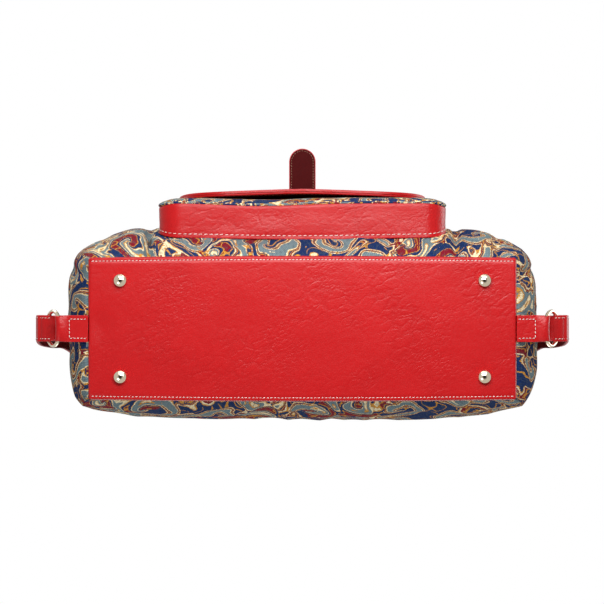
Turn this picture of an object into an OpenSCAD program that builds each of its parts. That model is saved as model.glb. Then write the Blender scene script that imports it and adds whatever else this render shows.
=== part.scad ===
// Tapestry backpack: a woven fabric body on a leather base with domed feet, a flapped front pocket,
// a zipped top and two shoulder straps that end in rings beside the base.
// Millimetres, +Z up, -Y to the front. The origin is the middle of the base panel's underside.

/* [Base] */
// Width of the base panel, along X
base_w = 400; // [370:1:430]
// Depth of the base panel, along Y
base_d = 134; // [124:1:146]
// Corner radius of the base panel
base_r = 6; // [3:0.5:10]
// Thickness of the base leather
base_t = 2.2; // [1.6:0.1:3]
// Thickness of the stiffener board
board_t = 3; // [2:0.1:4]
// Distance of the board's edge from the base panel's edge
board_inset = 8; // [6:0.5:14]

/* [Feet] */
// Radius of a foot's dome
foot_r = 5.75; // [4.5:0.05:7]
// Depth of the flat at the tip of a dome
foot_flat = 0.25; // [0.1:0.05:0.6]
// Height of the straight rim above a dome
foot_rim = 0.5; // [0.3:0.1:1.5]
// Distance of a foot from the base panel's end
foot_in_x = 30; // [24:1:45]
// Distance of a foot from the base panel's long edge
foot_in_y = 22; // [18:1:28]
// Radius of a foot's shank
shank_r = 1.6; // [1:0.1:2.2]
// Radius of a foot's washer inside the bag
washer_r = 7; // [5:0.5:10]
// Thickness of a foot's washer
washer_t = 1; // [0.6:0.1:1.6]

/* [Body] */
// Height of the fabric body's top edge above the base
body_h = 339; // [320:1:360]
// Width of the body at its top edge
top_w = 410; // [380:1:430]
// Depth of the body at its top edge
top_d = 24; // [20:0.5:30]
// Outward swell of the side seams along X
belly_w = 17; // [10:0.5:24]
// Outward swell of the side seams along Y
belly_d = 22.5; // [16:0.5:26]
// Extra bulge of the front panel
front_bulge = 30; // [20:1:36]
// Extra bulge of the back panel
back_bulge = 12; // [6:1:18]
// Extra bulge of a side gusset
side_bulge = 12; // [6:1:15]
// Thickness of the tapestry fabric
fabric_t = 2; // [1.4:0.1:2.6]
// Thickness of the lining
lining_t = 0.8; // [0.5:0.1:1.2]

/* [Pocket] */
// Width of the front pocket
pocket_w = 278; // [240:1:300]
// Height of the pocket's bottom above the base
pocket_z = 46; // [40:1:60]
// Height of the pocket from its bottom to its open top
pocket_h = 163; // [150:1:170]
// Radius of the pocket's bottom corners
pocket_r = 22; // [14:0.5:30]
// Depth of the pocket's gusset at the bottom
pocket_low_d = 35; // [28:0.5:38]
// Depth of the pocket's gusset at the top
pocket_top_d = 18; // [14:0.5:20]
// How far the pocket front crowns out from its edge
pocket_crown = 2; // [1:0.5:5]
// Thickness of the pocket gusset's leather
gusset_t = 2; // [1.4:0.1:2.6]

/* [Flap] */
// Width of the pocket flap
flap_w = 246; // [220:1:262]
// Height of the flap's seam above the pocket's top
flap_rise = 21; // [18:0.5:26]
// How far the flap hangs below its seam
flap_drop = 151; // [140:1:160]
// Radius of the flap's lower corners
flap_r = 46; // [30:1:60]
// Thickness of the flap's face leather
flap_face_t = 2.4; // [1.8:0.1:3]
// Thickness of the flap's lining
flap_lining_t = 1.6; // [1:0.1:2.2]
// Gap between flap and pocket at the middle of the flap's edge
flap_lift = 6; // [4:0.5:10]
// Gap between flap and pocket at the ends of the flap's edge
flap_end_lift = 2.5; // [1.5:0.5:5]

/* [Closure tab] */
// Width of the closure tab
tab_w = 26; // [20:0.5:32]
// Length of the closure tab in front of the flap
tab_l = 40; // [30:0.5:44]
// Height of the tab above the flap's lower edge
tab_up = 11; // [8:0.5:16]
// Thickness of the tab's face leather
tab_face_t = 2; // [1.8:0.1:2.6]
// Thickness of the tab's lining
tab_lining_t = 1.2; // [0.8:0.1:1.6]
// Radius of the two closing magnets
magnet_r = 7; // [5:0.5:9]
// Thickness of the two closing magnets
magnet_t = 1.2; // [0.8:0.1:1.4]

/* [Straps and rings] */
// Width of the straps and of the ring tabs
strap_w = 25; // [20:0.5:28]
// Thickness of a strap
strap_t = 3.4; // [2.4:0.1:4]
// Thickness of one layer of a ring tab
ring_tab_t = 2.2; // [1.6:0.1:2.6]
// Length of a ring tab from the base's edge to the middle of the ring's wire
ring_tab_l = 26.5; // [24:0.5:30]
// Outer diameter of a ring
ring_d = 36; // [33:0.5:40]
// Diameter of a ring's wire
ring_wire = 3.6; // [3:0.1:4.2]
// Angle between a ring and the base's plane
ring_tilt = 60; // [50:1:70]

/* [Top] */
// Length of the zip
zip_l = 376; // [340:1:390]
// Width of one zip tape
zip_tape_w = 7; // [6:0.25:8]
// Thickness of a zip tape
zip_tape_t = 0.9; // [0.6:0.1:1.2]
// Width of the zip's coil
zip_coil_w = 4.6; // [4:0.1:5.4]
// Height of the zip's coil
zip_coil_h = 2; // [1.6:0.1:2.4]
// Length of the zip's pull
pull_l = 34; // [28:1:40]
// Width of the strap yoke on the back panel
yoke_w = 168; // [150:1:190]
// Height of the strap yoke
yoke_h = 56; // [50:1:62]
// Thickness of the yoke's leather
yoke_t = 2.4; // [1.8:0.1:3]
// Distance between the legs of the top handle
handle_w = 124; // [112:1:132]
// Thickness of the rolled handle
handle_d = 12; // [9:0.5:14]

/* [Hidden] */
$fn = 64;

red = "firebrick";
dark_red = "maroon";
woven = "slategray";
gold = "gold";
black = "dimgray";

// Clearance between soft pieces, and around shanks
gap = 0.4;
seam_gap = 0.2;
shank_gap = 0.15;
// Inset of the fabric's bottom edge from the base's edge
seam_in = 1;
// Fabric steps across and up a panel
steps_u = 24;
steps_v = 6;
steps_z = 18;

// Distances between the feet
foot_dx = base_w - 2 * foot_in_x;
foot_dy = base_d - 2 * foot_in_y;
foot_h = foot_r - foot_flat + foot_rim;
board_z = base_t;
washer_z = board_z + board_t;
lining_z = washer_z + washer_t + gap;
body_z = base_t;

// Shape of the swell: below 1 the belly hangs low
swell_low_w = 0.62;
swell_low_d = 0.87;
// Shape of the taper from the base's depth to the top's depth
taper = 1.8;

function lerp(a, b, s) = a + (b - a) * s;
function rise(z) = (z - body_z) / (body_h - body_z);
function swell_w(z) = sin(180 * pow(rise(z), swell_low_w));
function swell_d(z) = sin(180 * pow(rise(z), swell_low_d));

// The four seams of the body stand at (+-seam_x, +-seam_y)
function seam_x(z) = lerp(base_w / 2 - seam_in, top_w / 2, rise(z)) + belly_w * swell_w(z);
function seam_y(z) = lerp(base_d / 2 - seam_in, top_d / 2, pow(rise(z), taper)) + belly_d * swell_d(z);

// Bulge of a panel between its seams, with u from -1 to 1 across it.
// The front panel is held back in the middle by the pocket, to this share of its bulge.
front_held = 0.55;
front_free = 0.6;
function front_out(u, z) =
    front_bulge * swell_d(z) * (1 - pow(u, 4)) * (front_held + front_free * u * u);
function back_out(u, z) = back_bulge * swell_d(z) * (1 - pow(u, 4));
function side_out(u, z) = side_bulge * swell_w(z) * (1 - u * u);
function front_y(x, z) = -seam_y(z) - front_out(x / seam_x(z), z);
function back_y(x, z) = seam_y(z) + back_out(x / seam_x(z), z);

// A point of a panel at inset i from the body's outer surface
function front_point(u, z, i) =
    [u * (seam_x(z) - i - seam_gap), -(seam_y(z) - i + front_out(u, z)), z];
function back_point(u, z, i) =
    [u * (seam_x(z) - i - seam_gap), seam_y(z) - i + back_out(u, z), z];
function side_point(u, z, i) =
    [seam_x(z) - i + side_out(u, z), u * (seam_y(z) - i - seam_gap), z];

// Heights of the fabric's rows, closer together near the base where it turns out
row_power = 1.5;
function row_z(k, z0, z1) = lerp(z0, z1, pow(k / steps_z, row_power));

// Outer faces of a panel are the rows of a, inner faces the rows of b
module sheet(a, b) {
    rows = len(a);
    cols = len(a[0]);
    half = rows * cols;
    function id(i, j, side) = side * half + i * cols + j;
    points = [for (grid = [a, b]) for (row = grid) for (p = row) p];
    faces = [
        for (i = [0 : rows - 2]) for (j = [0 : cols - 2]) for (f = [
            [id(i, j, 0), id(i + 1, j, 0), id(i + 1, j + 1, 0)],
            [id(i, j, 0), id(i + 1, j + 1, 0), id(i, j + 1, 0)],
            [id(i, j, 1), id(i + 1, j + 1, 1), id(i + 1, j, 1)],
            [id(i, j, 1), id(i, j + 1, 1), id(i + 1, j + 1, 1)]]) f,
        for (i = [0 : rows - 2]) for (f = [
            [id(i, 0, 0), id(i, 0, 1), id(i + 1, 0, 1)],
            [id(i, 0, 0), id(i + 1, 0, 1), id(i + 1, 0, 0)],
            [id(i, cols - 1, 0), id(i + 1, cols - 1, 1), id(i, cols - 1, 1)],
            [id(i, cols - 1, 0), id(i + 1, cols - 1, 0), id(i + 1, cols - 1, 1)]]) f,
        for (j = [0 : cols - 2]) for (f = [
            [id(0, j, 0), id(0, j + 1, 1), id(0, j, 1)],
            [id(0, j, 0), id(0, j + 1, 0), id(0, j + 1, 1)],
            [id(rows - 1, j, 0), id(rows - 1, j, 1), id(rows - 1, j + 1, 1)],
            [id(rows - 1, j, 0), id(rows - 1, j + 1, 1), id(rows - 1, j + 1, 0)]]) f];
    polyhedron(points, faces);
}

// Shares from -1 to 1 across a panel, in n steps
function across(n) = [for (k = [0 : n]) 2 * k / n - 1];

module rounded_plate(w, d, r, t) {
    linear_extrude(t) union() {
        square([w - 2 * r, d], center = true);
        square([w, d - 2 * r], center = true);
        for (x = [-1, 1]) for (y = [-1, 1])
            translate([x * (w / 2 - r), y * (d / 2 - r)]) circle(r);
    }
}

module at_feet() {
    for (x = [-1, 1]) for (y = [-1, 1])
        translate([x * foot_dx / 2, y * foot_dy / 2, 0]) children();
}

module base_panel() {
    color(red) difference() {
        rounded_plate(base_w, base_d, base_r, base_t);
        at_feet() translate([0, 0, -base_t]) cylinder(r = shank_r + shank_gap, h = 3 * base_t);
    }
}

module base_board() {
    color(black) translate([0, 0, board_z]) difference() {
        rounded_plate(base_w - 2 * board_inset, base_d - 2 * board_inset, base_r, board_t);
        at_feet() translate([0, 0, -board_t]) cylinder(r = shank_r + shank_gap, h = 3 * board_t);
    }
}

module foot() {
    intersection() {
        translate([0, 0, -foot_rim]) sphere(foot_r);
        translate([0, 0, -foot_h]) cylinder(r = foot_r, h = foot_h - foot_rim);
    }
    translate([0, 0, -foot_rim]) cylinder(r = foot_r, h = foot_rim);
    cylinder(r = shank_r, h = washer_z + washer_t);
}

module feet() {
    color(gold) at_feet() foot();
}

module foot_washers() {
    color(gold) at_feet() translate([0, 0, washer_z]) difference() {
        cylinder(r = washer_r, h = washer_t);
        translate([0, 0, -washer_t]) cylinder(r = shank_r + shank_gap, h = 3 * washer_t);
    }
}

module front_panel() {
    function rows(i) = [for (k = [0 : steps_z]) let (z = row_z(k, body_z, body_h))
        [for (u = across(steps_u)) front_point(u, z, i)]];
    color(woven) sheet(rows(0), rows(fabric_t));
}

module back_panel() {
    function rows(i) = [for (k = [0 : steps_z]) let (z = row_z(k, body_z, body_h))
        [for (u = across(steps_u)) back_point(-u, z, i)]];
    color(woven) sheet(rows(0), rows(fabric_t));
}

module side_gusset() {
    function rows(i) = [for (k = [0 : steps_z]) let (z = row_z(k, body_z, body_h))
        [for (u = across(2 * steps_v)) side_point(u, z, i)]];
    color(woven) sheet(rows(0), rows(fabric_t));
}

module side_gusset_left() {
    mirror([1, 0, 0]) side_gusset();
}

module side_gusset_right() {
    side_gusset();
}

// The lining is one sewn bag inside the body, open at the top
module lining() {
    top = body_h - zip_drop - zip_flange;
    // Half of the loop's points are on each long panel and its neighbouring gusset
    function loop(z, i) = concat(
        [for (k = [0 : steps_u - 1]) front_point(2 * k / steps_u - 1, z, i)],
        [for (k = [0 : steps_v - 1]) side_point(2 * k / steps_v - 1, z, i)],
        [for (k = [0 : steps_u - 1]) back_point(1 - 2 * k / steps_u, z, i)],
        [for (k = [0 : steps_v - 1]) let (p = side_point(1 - 2 * k / steps_v, z, i)) [-p.x, p.y, p.z]]);
    n = 2 * (steps_u + steps_v);
    m = steps_z + 1;
    outer = fabric_t + gap;
    inner = outer + lining_t;
    points = concat(
        [for (k = [0 : steps_z]) each loop(row_z(k, lining_z, top), outer)],
        [for (k = [0 : steps_z]) each loop(row_z(k, lining_z + lining_t, top), inner)],
        [[0, 0, lining_z], [0, 0, lining_z + lining_t]]);
    function id(k, j, side) = side * n * m + k * n + j % n;
    low = 2 * n * m;
    faces = [
        for (k = [0 : m - 2]) for (j = [0 : n - 1]) for (f = [
            [id(k, j, 0), id(k + 1, j, 0), id(k + 1, j + 1, 0)],
            [id(k, j, 0), id(k + 1, j + 1, 0), id(k, j + 1, 0)],
            [id(k, j, 1), id(k + 1, j + 1, 1), id(k + 1, j, 1)],
            [id(k, j, 1), id(k, j + 1, 1), id(k + 1, j + 1, 1)]]) f,
        for (j = [0 : n - 1]) for (f = [
            [id(m - 1, j, 0), id(m - 1, j, 1), id(m - 1, j + 1, 1)],
            [id(m - 1, j, 0), id(m - 1, j + 1, 1), id(m - 1, j + 1, 0)],
            [low, id(0, j, 0), id(0, j + 1, 0)],
            [low + 1, id(0, j + 1, 1), id(0, j, 1)]]) f];
    color(black) polyhedron(points, faces);
}

// Pocket

pocket_top = pocket_z + pocket_h;
// Distance of the pocket's front edge in front of the origin: it follows the belly of the front panel
function pocket_y(z) = lerp(pocket_low_d, pocket_top_d, (z - pocket_z) / pocket_h) - front_y(0, z);
function crown(u, z) = let (s = max(0, 1 - 2 * (z - pocket_z) / pocket_h))
    pocket_crown * (1 - pow(u, 6)) * (1 - pow(s, 6));
pocket_skin = gap + fabric_t;
arc_steps = 6;

// The pocket's U outline from its left top round the bottom to its right top, at inset i
function pocket_path(i) = let (w = pocket_w / 2 - i, r = pocket_r - i, z = pocket_z + i) concat(
    [for (k = [0 : steps_v - 1]) [-w, lerp(pocket_top, z + r, k / steps_v)]],
    [for (k = [0 : arc_steps]) let (a = 180 + 90 * k / arc_steps)
        [r - w + r * cos(a), z + r + r * sin(a)]],
    [for (k = [1 : 2 * steps_v - 1]) [lerp(r - w, w - r, k / (2 * steps_v)), z]],
    [for (k = [0 : arc_steps]) let (a = 270 + 90 * k / arc_steps)
        [w - r + r * cos(a), z + r + r * sin(a)]],
    [for (k = [1 : steps_v]) [w, lerp(z + r, pocket_top, k / steps_v)]]);

module pocket_gusset() {
    function rows(i) = [for (p = pocket_path(i))
        let (back = front_y(p[0], p[1]) - gap, front = -pocket_y(p[1]))
        [for (s = [1, 0.5, 0]) [p[0], lerp(back, front, s), p[1]]]];
    color(red) sheet(rows(0), rows(gusset_t));
}

// Heights and half widths of the pocket front's rows, rounded at the bottom corners
pocket_rows = concat(
    [for (k = [0 : arc_steps]) let (a = 90 * k / arc_steps)
        [pocket_z + pocket_r * (1 - cos(a)), pocket_w / 2 - pocket_r * (1 - sin(a))]],
    [for (k = [1 : steps_v]) [lerp(pocket_z + pocket_r, pocket_top, k / steps_v), pocket_w / 2]]);

module pocket_front() {
    function rows(i) = [for (row = pocket_rows) [for (u = across(steps_u))
        [u * row[1], i - pocket_y(row[0]) - pocket_skin - crown(u, row[0]), row[0]]]];
    color(woven) sheet(rows(0), rows(fabric_t));
}

// Flap

flap_top = pocket_top + flap_rise;
flap_low = flap_top - flap_drop;
// Film of glue between the flap's layers
flap_glue = 0.1;
flap_t = flap_face_t + flap_glue + flap_lining_t;
// Direction in which the flap leaves its seam, below the horizontal
flap_lead_angle = 6;
flap_lead = 54;
// Share of the drop, from the bottom, where the flap turns straight down
flap_turn = 0.55;
// The seam runs straight in front of the furthest point of the front panel behind it
flap_seam_y = -gap +
    min([for (k = [0 : steps_u]) front_y(flap_w / 2 * k / steps_u, flap_top - flap_t)]);

function pocket_out(z) = pocket_y(z) + pocket_skin + pocket_crown;
function flap_edge_z(u) = let (x = abs(u) * flap_w / 2, d = max(0, x - flap_w / 2 + flap_r))
    flap_low + flap_r - sqrt(flap_r * flap_r - d * d);
function flap_gap(u) = lerp(flap_lift, flap_end_lift, u * u) + flap_t;
// Corner points, in Y and Z, of the curve that the flap follows from its seam to its edge
function flap_curve(u) = let (z3 = flap_edge_z(u), z2 = lerp(z3, flap_top, flap_turn)) [
    [flap_seam_y, flap_top],
    [flap_seam_y - flap_lead * cos(flap_lead_angle), flap_top - flap_lead * sin(flap_lead_angle)],
    [-pocket_out(z2) - flap_gap(u), z2],
    [-pocket_out(z3) - flap_gap(u), z3]];
function bezier(c, s) = let (r = 1 - s)
    c[0] * r * r * r + c[1] * 3 * s * r * r + c[2] * 3 * s * s * r + c[3] * s * s * s;
function bezier_slope(c, s) = let (r = 1 - s)
    (c[1] - c[0]) * r * r + (c[2] - c[1]) * 2 * s * r + (c[3] - c[2]) * s * s;
// A point of the flap at depth i below its outer face
function flap_point(u, s, i) =
    let (c = flap_curve(u), t = bezier_slope(c, s), n = [t[1], -t[0]] / norm(t), q = bezier(c, s) - i * n)
    [u * flap_w / 2, q[0], q[1]];
flap_steps = 16;
// Columns closer together at the flap's rounded ends
flap_columns = [for (k = [0 : steps_u]) sin(180 * k / steps_u - 90)];
function flap_rows(i) = [for (k = [0 : flap_steps])
    [for (u = flap_columns) flap_point(-u, k / flap_steps, i)]];

module flap_face() {
    color(red) sheet(flap_rows(0), flap_rows(flap_face_t));
}

module flap_lining() {
    top = flap_face_t + flap_glue;
    color(dark_red) sheet(flap_rows(top), flap_rows(top + flap_lining_t));
}

// Closure tab, standing out from the flap

tab_z = flap_low + tab_up;
// Place along the flap's middle curve at height z, found by halving
function flap_place(z, a = 0, b = 1, n = 30) = let (m = (a + b) / 2)
    n == 0 ? m :
    bezier(flap_curve(0), m)[1] > z ? flap_place(z, m, b, n - 1) : flap_place(z, a, m, n - 1);
tab_y = bezier(flap_curve(0), flap_place(tab_z))[0] - gap;
magnet_gap = 0.1;

module tab_outline() {
    translate([-tab_w / 2, tab_w / 2 - tab_l]) square([tab_w, tab_l - tab_w / 2]);
    translate([0, tab_w / 2 - tab_l]) circle(d = tab_w);
}

module tab_magnet_place() {
    translate([0, tab_y + tab_w / 2 - tab_l, tab_z + tab_lining_t]) children();
}

module tab_face() {
    color(red) difference() {
        translate([0, tab_y, tab_z + tab_lining_t]) linear_extrude(tab_face_t) tab_outline();
        tab_magnet_place() translate([0, 0, -magnet_t])
            cylinder(r = magnet_r + magnet_gap, h = 2 * magnet_t + magnet_gap);
    }
}

module tab_lining() {
    color(dark_red) translate([0, tab_y, tab_z]) linear_extrude(tab_lining_t) tab_outline();
}

module tab_magnet() {
    color(black) tab_magnet_place() cylinder(r = magnet_r, h = magnet_t);
}

module pocket_magnet() {
    // Height that the closed tab's magnet reaches
    z = max(tab_z - tab_l + tab_w / 2, pocket_z + magnet_r + gusset_t);
    y = min([for (d = [-magnet_r, 0, magnet_r]) pocket_y(z + d) + crown(0, z + d)]);
    color(black) translate([0, gap - y, z]) rotate([-90, 0, 0]) cylinder(r = magnet_r, h = magnet_t);
}

// Zip

// Depth of the zip below the body's top edge, and height of a tape's sewn flange
zip_drop = 3;
zip_flange = 12;
zip_z = body_h - zip_drop;
zip_y = seam_y(zip_z) - fabric_t - gap;
slider_l = 11;
slider_wall = 1.2;
slider_gap = 0.3;
slider_h = zip_coil_h + slider_gap + slider_wall;
// The slider rests at the closed end of the zip
slider_x = zip_l / 2 - slider_l;
pull_w = 7;
slider_w = pull_w + 2 * (slider_gap + slider_wall);
pull_t = 1.6;
pull_hole = 2.2;
// Pin of the slider that the pull hangs on
pull_pin_r = 1;
pull_pin_gap = 0.1;
pull_z = zip_z + slider_h + pull_hole;

module zip_tape() {
    translate([-zip_l / 2, zip_y - zip_tape_w, zip_z - zip_tape_t]) cube([zip_l, zip_tape_w, zip_tape_t]);
    translate([-zip_l / 2, zip_y - zip_tape_t, zip_z - zip_flange]) cube([zip_l, zip_tape_t, zip_flange]);
}

module zip_tape_front() {
    color(black) mirror([0, 1, 0]) zip_tape();
}

module zip_tape_back() {
    color(black) zip_tape();
}

module zip_coil() {
    color(gold) translate([-zip_l / 2, -zip_coil_w / 2, zip_z]) cube([zip_l, zip_coil_w, zip_coil_h]);
}

module zip_slider() {
    color(gold) translate([slider_x, 0, zip_z]) {
        difference() {
            translate([-slider_l / 2, -slider_w / 2, slider_gap])
                cube([slider_l, slider_w, slider_h - slider_gap]);
            translate([-slider_l, -zip_coil_w / 2 - slider_gap, -slider_gap])
                cube([2 * slider_l, zip_coil_w + 2 * slider_gap, zip_coil_h + 2 * slider_gap]);
        }
        for (side = [-1, 1])
            translate([-pull_hole, side * (slider_w - slider_wall) / 2 - slider_wall / 2, slider_h])
                cube([2 * pull_hole, slider_wall, 2 * pull_hole]);
        translate([0, 0, pull_z - zip_z]) rotate([90, 0, 0])
            cylinder(r = pull_pin_r, h = pull_w + 2 * slider_gap + slider_wall, center = true);
    }
}

module zip_pull() {
    color(gold) translate([slider_x, 0, pull_z]) difference() {
        union() {
            rotate([90, 0, 0]) cylinder(r = pull_hole - slider_gap, h = pull_w, center = true);
            translate([-pull_l, -pull_w / 2, -pull_t / 2]) cube([pull_l, pull_w, pull_t]);
        }
        rotate([90, 0, 0]) cylinder(r = pull_pin_r + pull_pin_gap, h = 2 * pull_w, center = true);
    }
}

// Yoke, handle and straps

yoke_top = body_h - zip_drop - zip_flange;
yoke_z = yoke_top - yoke_h;

module strap_yoke() {
    function rows(i) = [for (k = [0 : steps_v]) let (z = lerp(yoke_z, yoke_top, k / steps_v))
        [for (u = across(steps_u)) [-u * yoke_w / 2, back_y(u * yoke_w / 2, z) + gap + yoke_t - i, z]]];
    color(red) sheet(rows(0), rows(yoke_t));
}

// Outer face of the yoke, and its lean from the vertical
function yoke_y(x, z) = back_y(x, z) + gap + yoke_t;
handle_z = yoke_z + yoke_h / 2;
handle_lean = atan2(yoke_y(handle_w / 2, handle_z) - yoke_y(handle_w / 2, yoke_top),
                    yoke_top - handle_z);
// Straight length of a handle's leg, from its foot on the yoke to the arch
handle_leg = 44;

module top_handle() {
    stand = gap + handle_d / 2;
    color(red) translate([0, yoke_y(handle_w / 2, handle_z) + stand / cos(handle_lean), handle_z])
        rotate([handle_lean, 0, 0]) {
            translate([0, 0, handle_leg]) rotate([90, 0, 0])
                rotate_extrude(angle = 180) translate([handle_w / 2, 0]) circle(d = handle_d);
            for (side = [-1, 1])
                translate([side * handle_w / 2, 0, 0]) cylinder(d = handle_d, h = handle_leg);
        }
}

ring_r = (ring_d - ring_wire) / 2;
ring_tab_x = base_w / 2 + ring_tab_l;
// The ring's wire runs through the fold of its tab, and its other side through the strap's end
ring_tab_z = ring_tab_t;
ring_x = ring_tab_x + ring_r * cos(ring_tilt);
ring_z = ring_tab_z + ring_r * sin(ring_tilt);
strap_ring_x = ring_x + ring_r * cos(ring_tilt);
strap_ring_z = ring_z + ring_r * sin(ring_tilt);
// Free space round the wire in a leather fold
fold_gap = 0.3;
fold_r = ring_wire / 2 + fold_gap;

module ring() {
    color(gold) translate([ring_x, 0, ring_z]) rotate([0, -ring_tilt, 0])
        rotate_extrude() translate([ring_r, 0]) circle(d = ring_wire);
}

module ring_left() {
    mirror([1, 0, 0]) ring();
}

module ring_right() {
    ring();
}

// Room for the ring in the leather that is folded round it
module ring_room() {
    translate([ring_x, 0, ring_z]) rotate([0, -ring_tilt, 0])
        rotate_extrude() translate([ring_r, 0]) circle(fold_r);
}

// A strip folded round the ring's wire and sewn flat between the ring and the base's edge
module ring_tab() {
    low_start = base_w / 2 + gap;
    // The upper layer stops in front of the gusset, which swells out over the base's edge
    top_z = 2 * ring_tab_t;
    top_start = seam_x(top_z) + side_out(0, top_z) + gap;
    color(red) difference() {
        translate([0, strap_w / 2, 0]) rotate([90, 0, 0]) linear_extrude(strap_w) {
            translate([low_start, 0]) square([ring_tab_x - low_start, ring_tab_t]);
            translate([top_start, 0]) square([ring_tab_x - top_start, top_z]);
            translate([ring_tab_x, ring_tab_z]) circle(fold_r + ring_tab_t);
        }
        ring_room();
    }
}

module ring_tab_left() {
    mirror([1, 0, 0]) ring_tab();
}

module ring_tab_right() {
    ring_tab();
}

// Middle line of the right strap, from the ring up beside the gusset and across the back to the yoke
strap_stand = gap + strap_t / 2;
// Ways round the gusset and across the back: share of the body's height, share of the way from the
// middle to the seams, and distance off the panel in strap thicknesses
strap_side_way = [[0.3, 0.1, 5], [0.42, 0.13, 3], [0.53, 0.3, 2], [0.61, 0.72, 2]];
strap_back_way = [[0.72, 0.86, 3], [0.765, 0.6, 5], [0.8, 0.36, 5.5], [0.835, 0.2, 4.5]];
// Height where the strap rounds the back seam, and its distances off the seam in strap thicknesses
strap_turn = 0.67;
strap_turn_out = [1.2, 1.8];
// The strap above the ring: out and up in ring diameters, back in strap widths
strap_ring_way = [[0.28, 0.04, 0.36], [0.25, 0.2, 0.95]];
// Place of the sewn end across the yoke, its two heights on the yoke and its slack off the yoke
strap_end = 0.18;
strap_end_way = [[0.5, 1.4], [0.85, 0.6]];
function beside(way) = let (z = way[0] * body_h, d = way[2] * strap_t)
    [seam_x(z) + side_out(way[1], z) + d, way[1] * seam_y(z), z];
function behind(x, z, d) = [x, back_y(x, z) + d, z];
strap_points = concat(
    [[strap_ring_x + fold_r, 0, strap_ring_z + strap_t / 2]],
    [for (way = strap_ring_way)
        [strap_ring_x + way[0] * ring_d, way[1] * strap_w, strap_ring_z + way[2] * ring_d]],
    [for (way = strap_side_way) beside(way)],
    [let (z = strap_turn * body_h)
        [seam_x(z) + strap_turn_out[0] * strap_t, seam_y(z) + strap_turn_out[1] * strap_t, z]],
    [for (way = strap_back_way) let (z = way[0] * body_h) behind(way[1] * seam_x(z), z, way[2] * strap_t)],
    [for (way = strap_end_way)
        behind(strap_end * yoke_w, yoke_z + way[0] * yoke_h, gap + yoke_t + strap_stand + way[1])]);
// Directions across the strap at those points
strap_across = [
    [0, 1, 0], [0, 1, 0], [0, 1, 0], [0, 1, -0.05], [0, 1, -0.2], [-0.05, 0.85, -0.5], [-0.1, 0.6, -0.75],
    [-0.35, 0.4, -0.85], [-0.3, 0.1, -0.95], [-0.4, 0, -0.92], [-0.5, 0, -0.87], [-0.7, 0, -0.7],
    [-0.97, 0, -0.25], [-1, 0, 0]];
strap_steps = 4;

function unit(v) = v / norm(v);
// A smooth curve through the points of list p
function smooth(p, k, s) =
    let (a = p[max(k - 1, 0)], b = p[k], c = p[k + 1], d = p[min(k + 2, len(p) - 1)])
    0.5 * (2 * b + (c - a) * s + (2 * a - 5 * b + 4 * c - d) * s * s + (3 * b - a - 3 * c + d) * s * s * s);
function smooth_list(p) = [
    for (k = [0 : len(p) - 2]) for (i = [0 : strap_steps - 1]) smooth(p, k, i / strap_steps),
    p[len(p) - 1]];

module strap() {
    line = smooth_list(strap_points);
    widths = smooth_list(strap_across);
    last = len(line) - 1;
    function frame(k) = let (t = unit(line[min(k + 1, last)] - line[max(k - 1, 0)]),
        n = unit(cross(t, widths[k])), w = cross(n, t)) [line[k], w * strap_w / 2, n * strap_t / 2];
    function rows(side) = [for (k = [0 : last]) let (f = frame(k))
        [for (e = [-1, 0, 1]) f[0] + e * f[1] - side * f[2]]];
    color(red) {
        sheet(rows(1), rows(-1));
        // The end of the strap is folded round the ring's wire
        difference() {
            translate([strap_ring_x, strap_w / 2, strap_ring_z]) rotate([90, 0, 0])
                cylinder(r = fold_r + strap_t / 2, h = strap_w);
            ring_room();
        }
    }
}

module strap_left() {
    mirror([1, 0, 0]) strap();
}

module strap_right() {
    strap();
}

base_panel();
base_board();
feet();
foot_washers();
front_panel();
back_panel();
side_gusset_left();
side_gusset_right();
lining();
pocket_gusset();
pocket_front();
pocket_magnet();
flap_face();
flap_lining();
tab_face();
tab_lining();
tab_magnet();
zip_tape_front();
zip_tape_back();
zip_coil();
zip_slider();
zip_pull();
strap_yoke();
top_handle();
strap_left();
strap_right();
ring_tab_left();
ring_tab_right();
ring_left();
ring_right();
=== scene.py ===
"""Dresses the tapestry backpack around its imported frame.

Woven panels, pebbled leather, polished metal and rows of stitches are built as pieces that ride on the
frame's bodies. Forms are worked out in millimetres in the frame's own axes and scaled to metres at the end.
"""

import logging
import math
from dataclasses import dataclass, field
from enum import Enum
from typing import Callable, Optional

import bmesh
import bpy
from mathutils import Matrix, Vector, noise


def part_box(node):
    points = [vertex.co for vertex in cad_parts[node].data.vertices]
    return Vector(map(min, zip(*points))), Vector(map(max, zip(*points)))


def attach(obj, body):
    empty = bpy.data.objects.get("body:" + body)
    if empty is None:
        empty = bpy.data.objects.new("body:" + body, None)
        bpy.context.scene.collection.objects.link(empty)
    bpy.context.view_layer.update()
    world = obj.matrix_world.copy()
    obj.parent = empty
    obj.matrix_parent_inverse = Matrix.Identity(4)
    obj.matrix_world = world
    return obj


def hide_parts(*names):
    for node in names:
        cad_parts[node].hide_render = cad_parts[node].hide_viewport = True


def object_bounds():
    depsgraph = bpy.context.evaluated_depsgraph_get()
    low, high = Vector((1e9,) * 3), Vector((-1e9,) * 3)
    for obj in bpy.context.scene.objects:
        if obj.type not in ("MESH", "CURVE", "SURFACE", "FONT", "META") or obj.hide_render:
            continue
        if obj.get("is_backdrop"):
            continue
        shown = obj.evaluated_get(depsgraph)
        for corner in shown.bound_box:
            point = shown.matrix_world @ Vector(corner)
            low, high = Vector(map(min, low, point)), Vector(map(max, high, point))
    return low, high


LOG = logging.getLogger("backpack")
MM = 0.001

# A spot is a point and the surface's normal there. A place takes two shares of -1 to 1,
# and a track one share of 0 to 1.
Pair = tuple[float, float]
Triple = tuple[float, float, float]
Spot = tuple[Vector, Vector]
Place = Callable[[float, float], Vector]
Track = Callable[[float], Spot]
Chart = Callable[[float, float], Pair]


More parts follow.
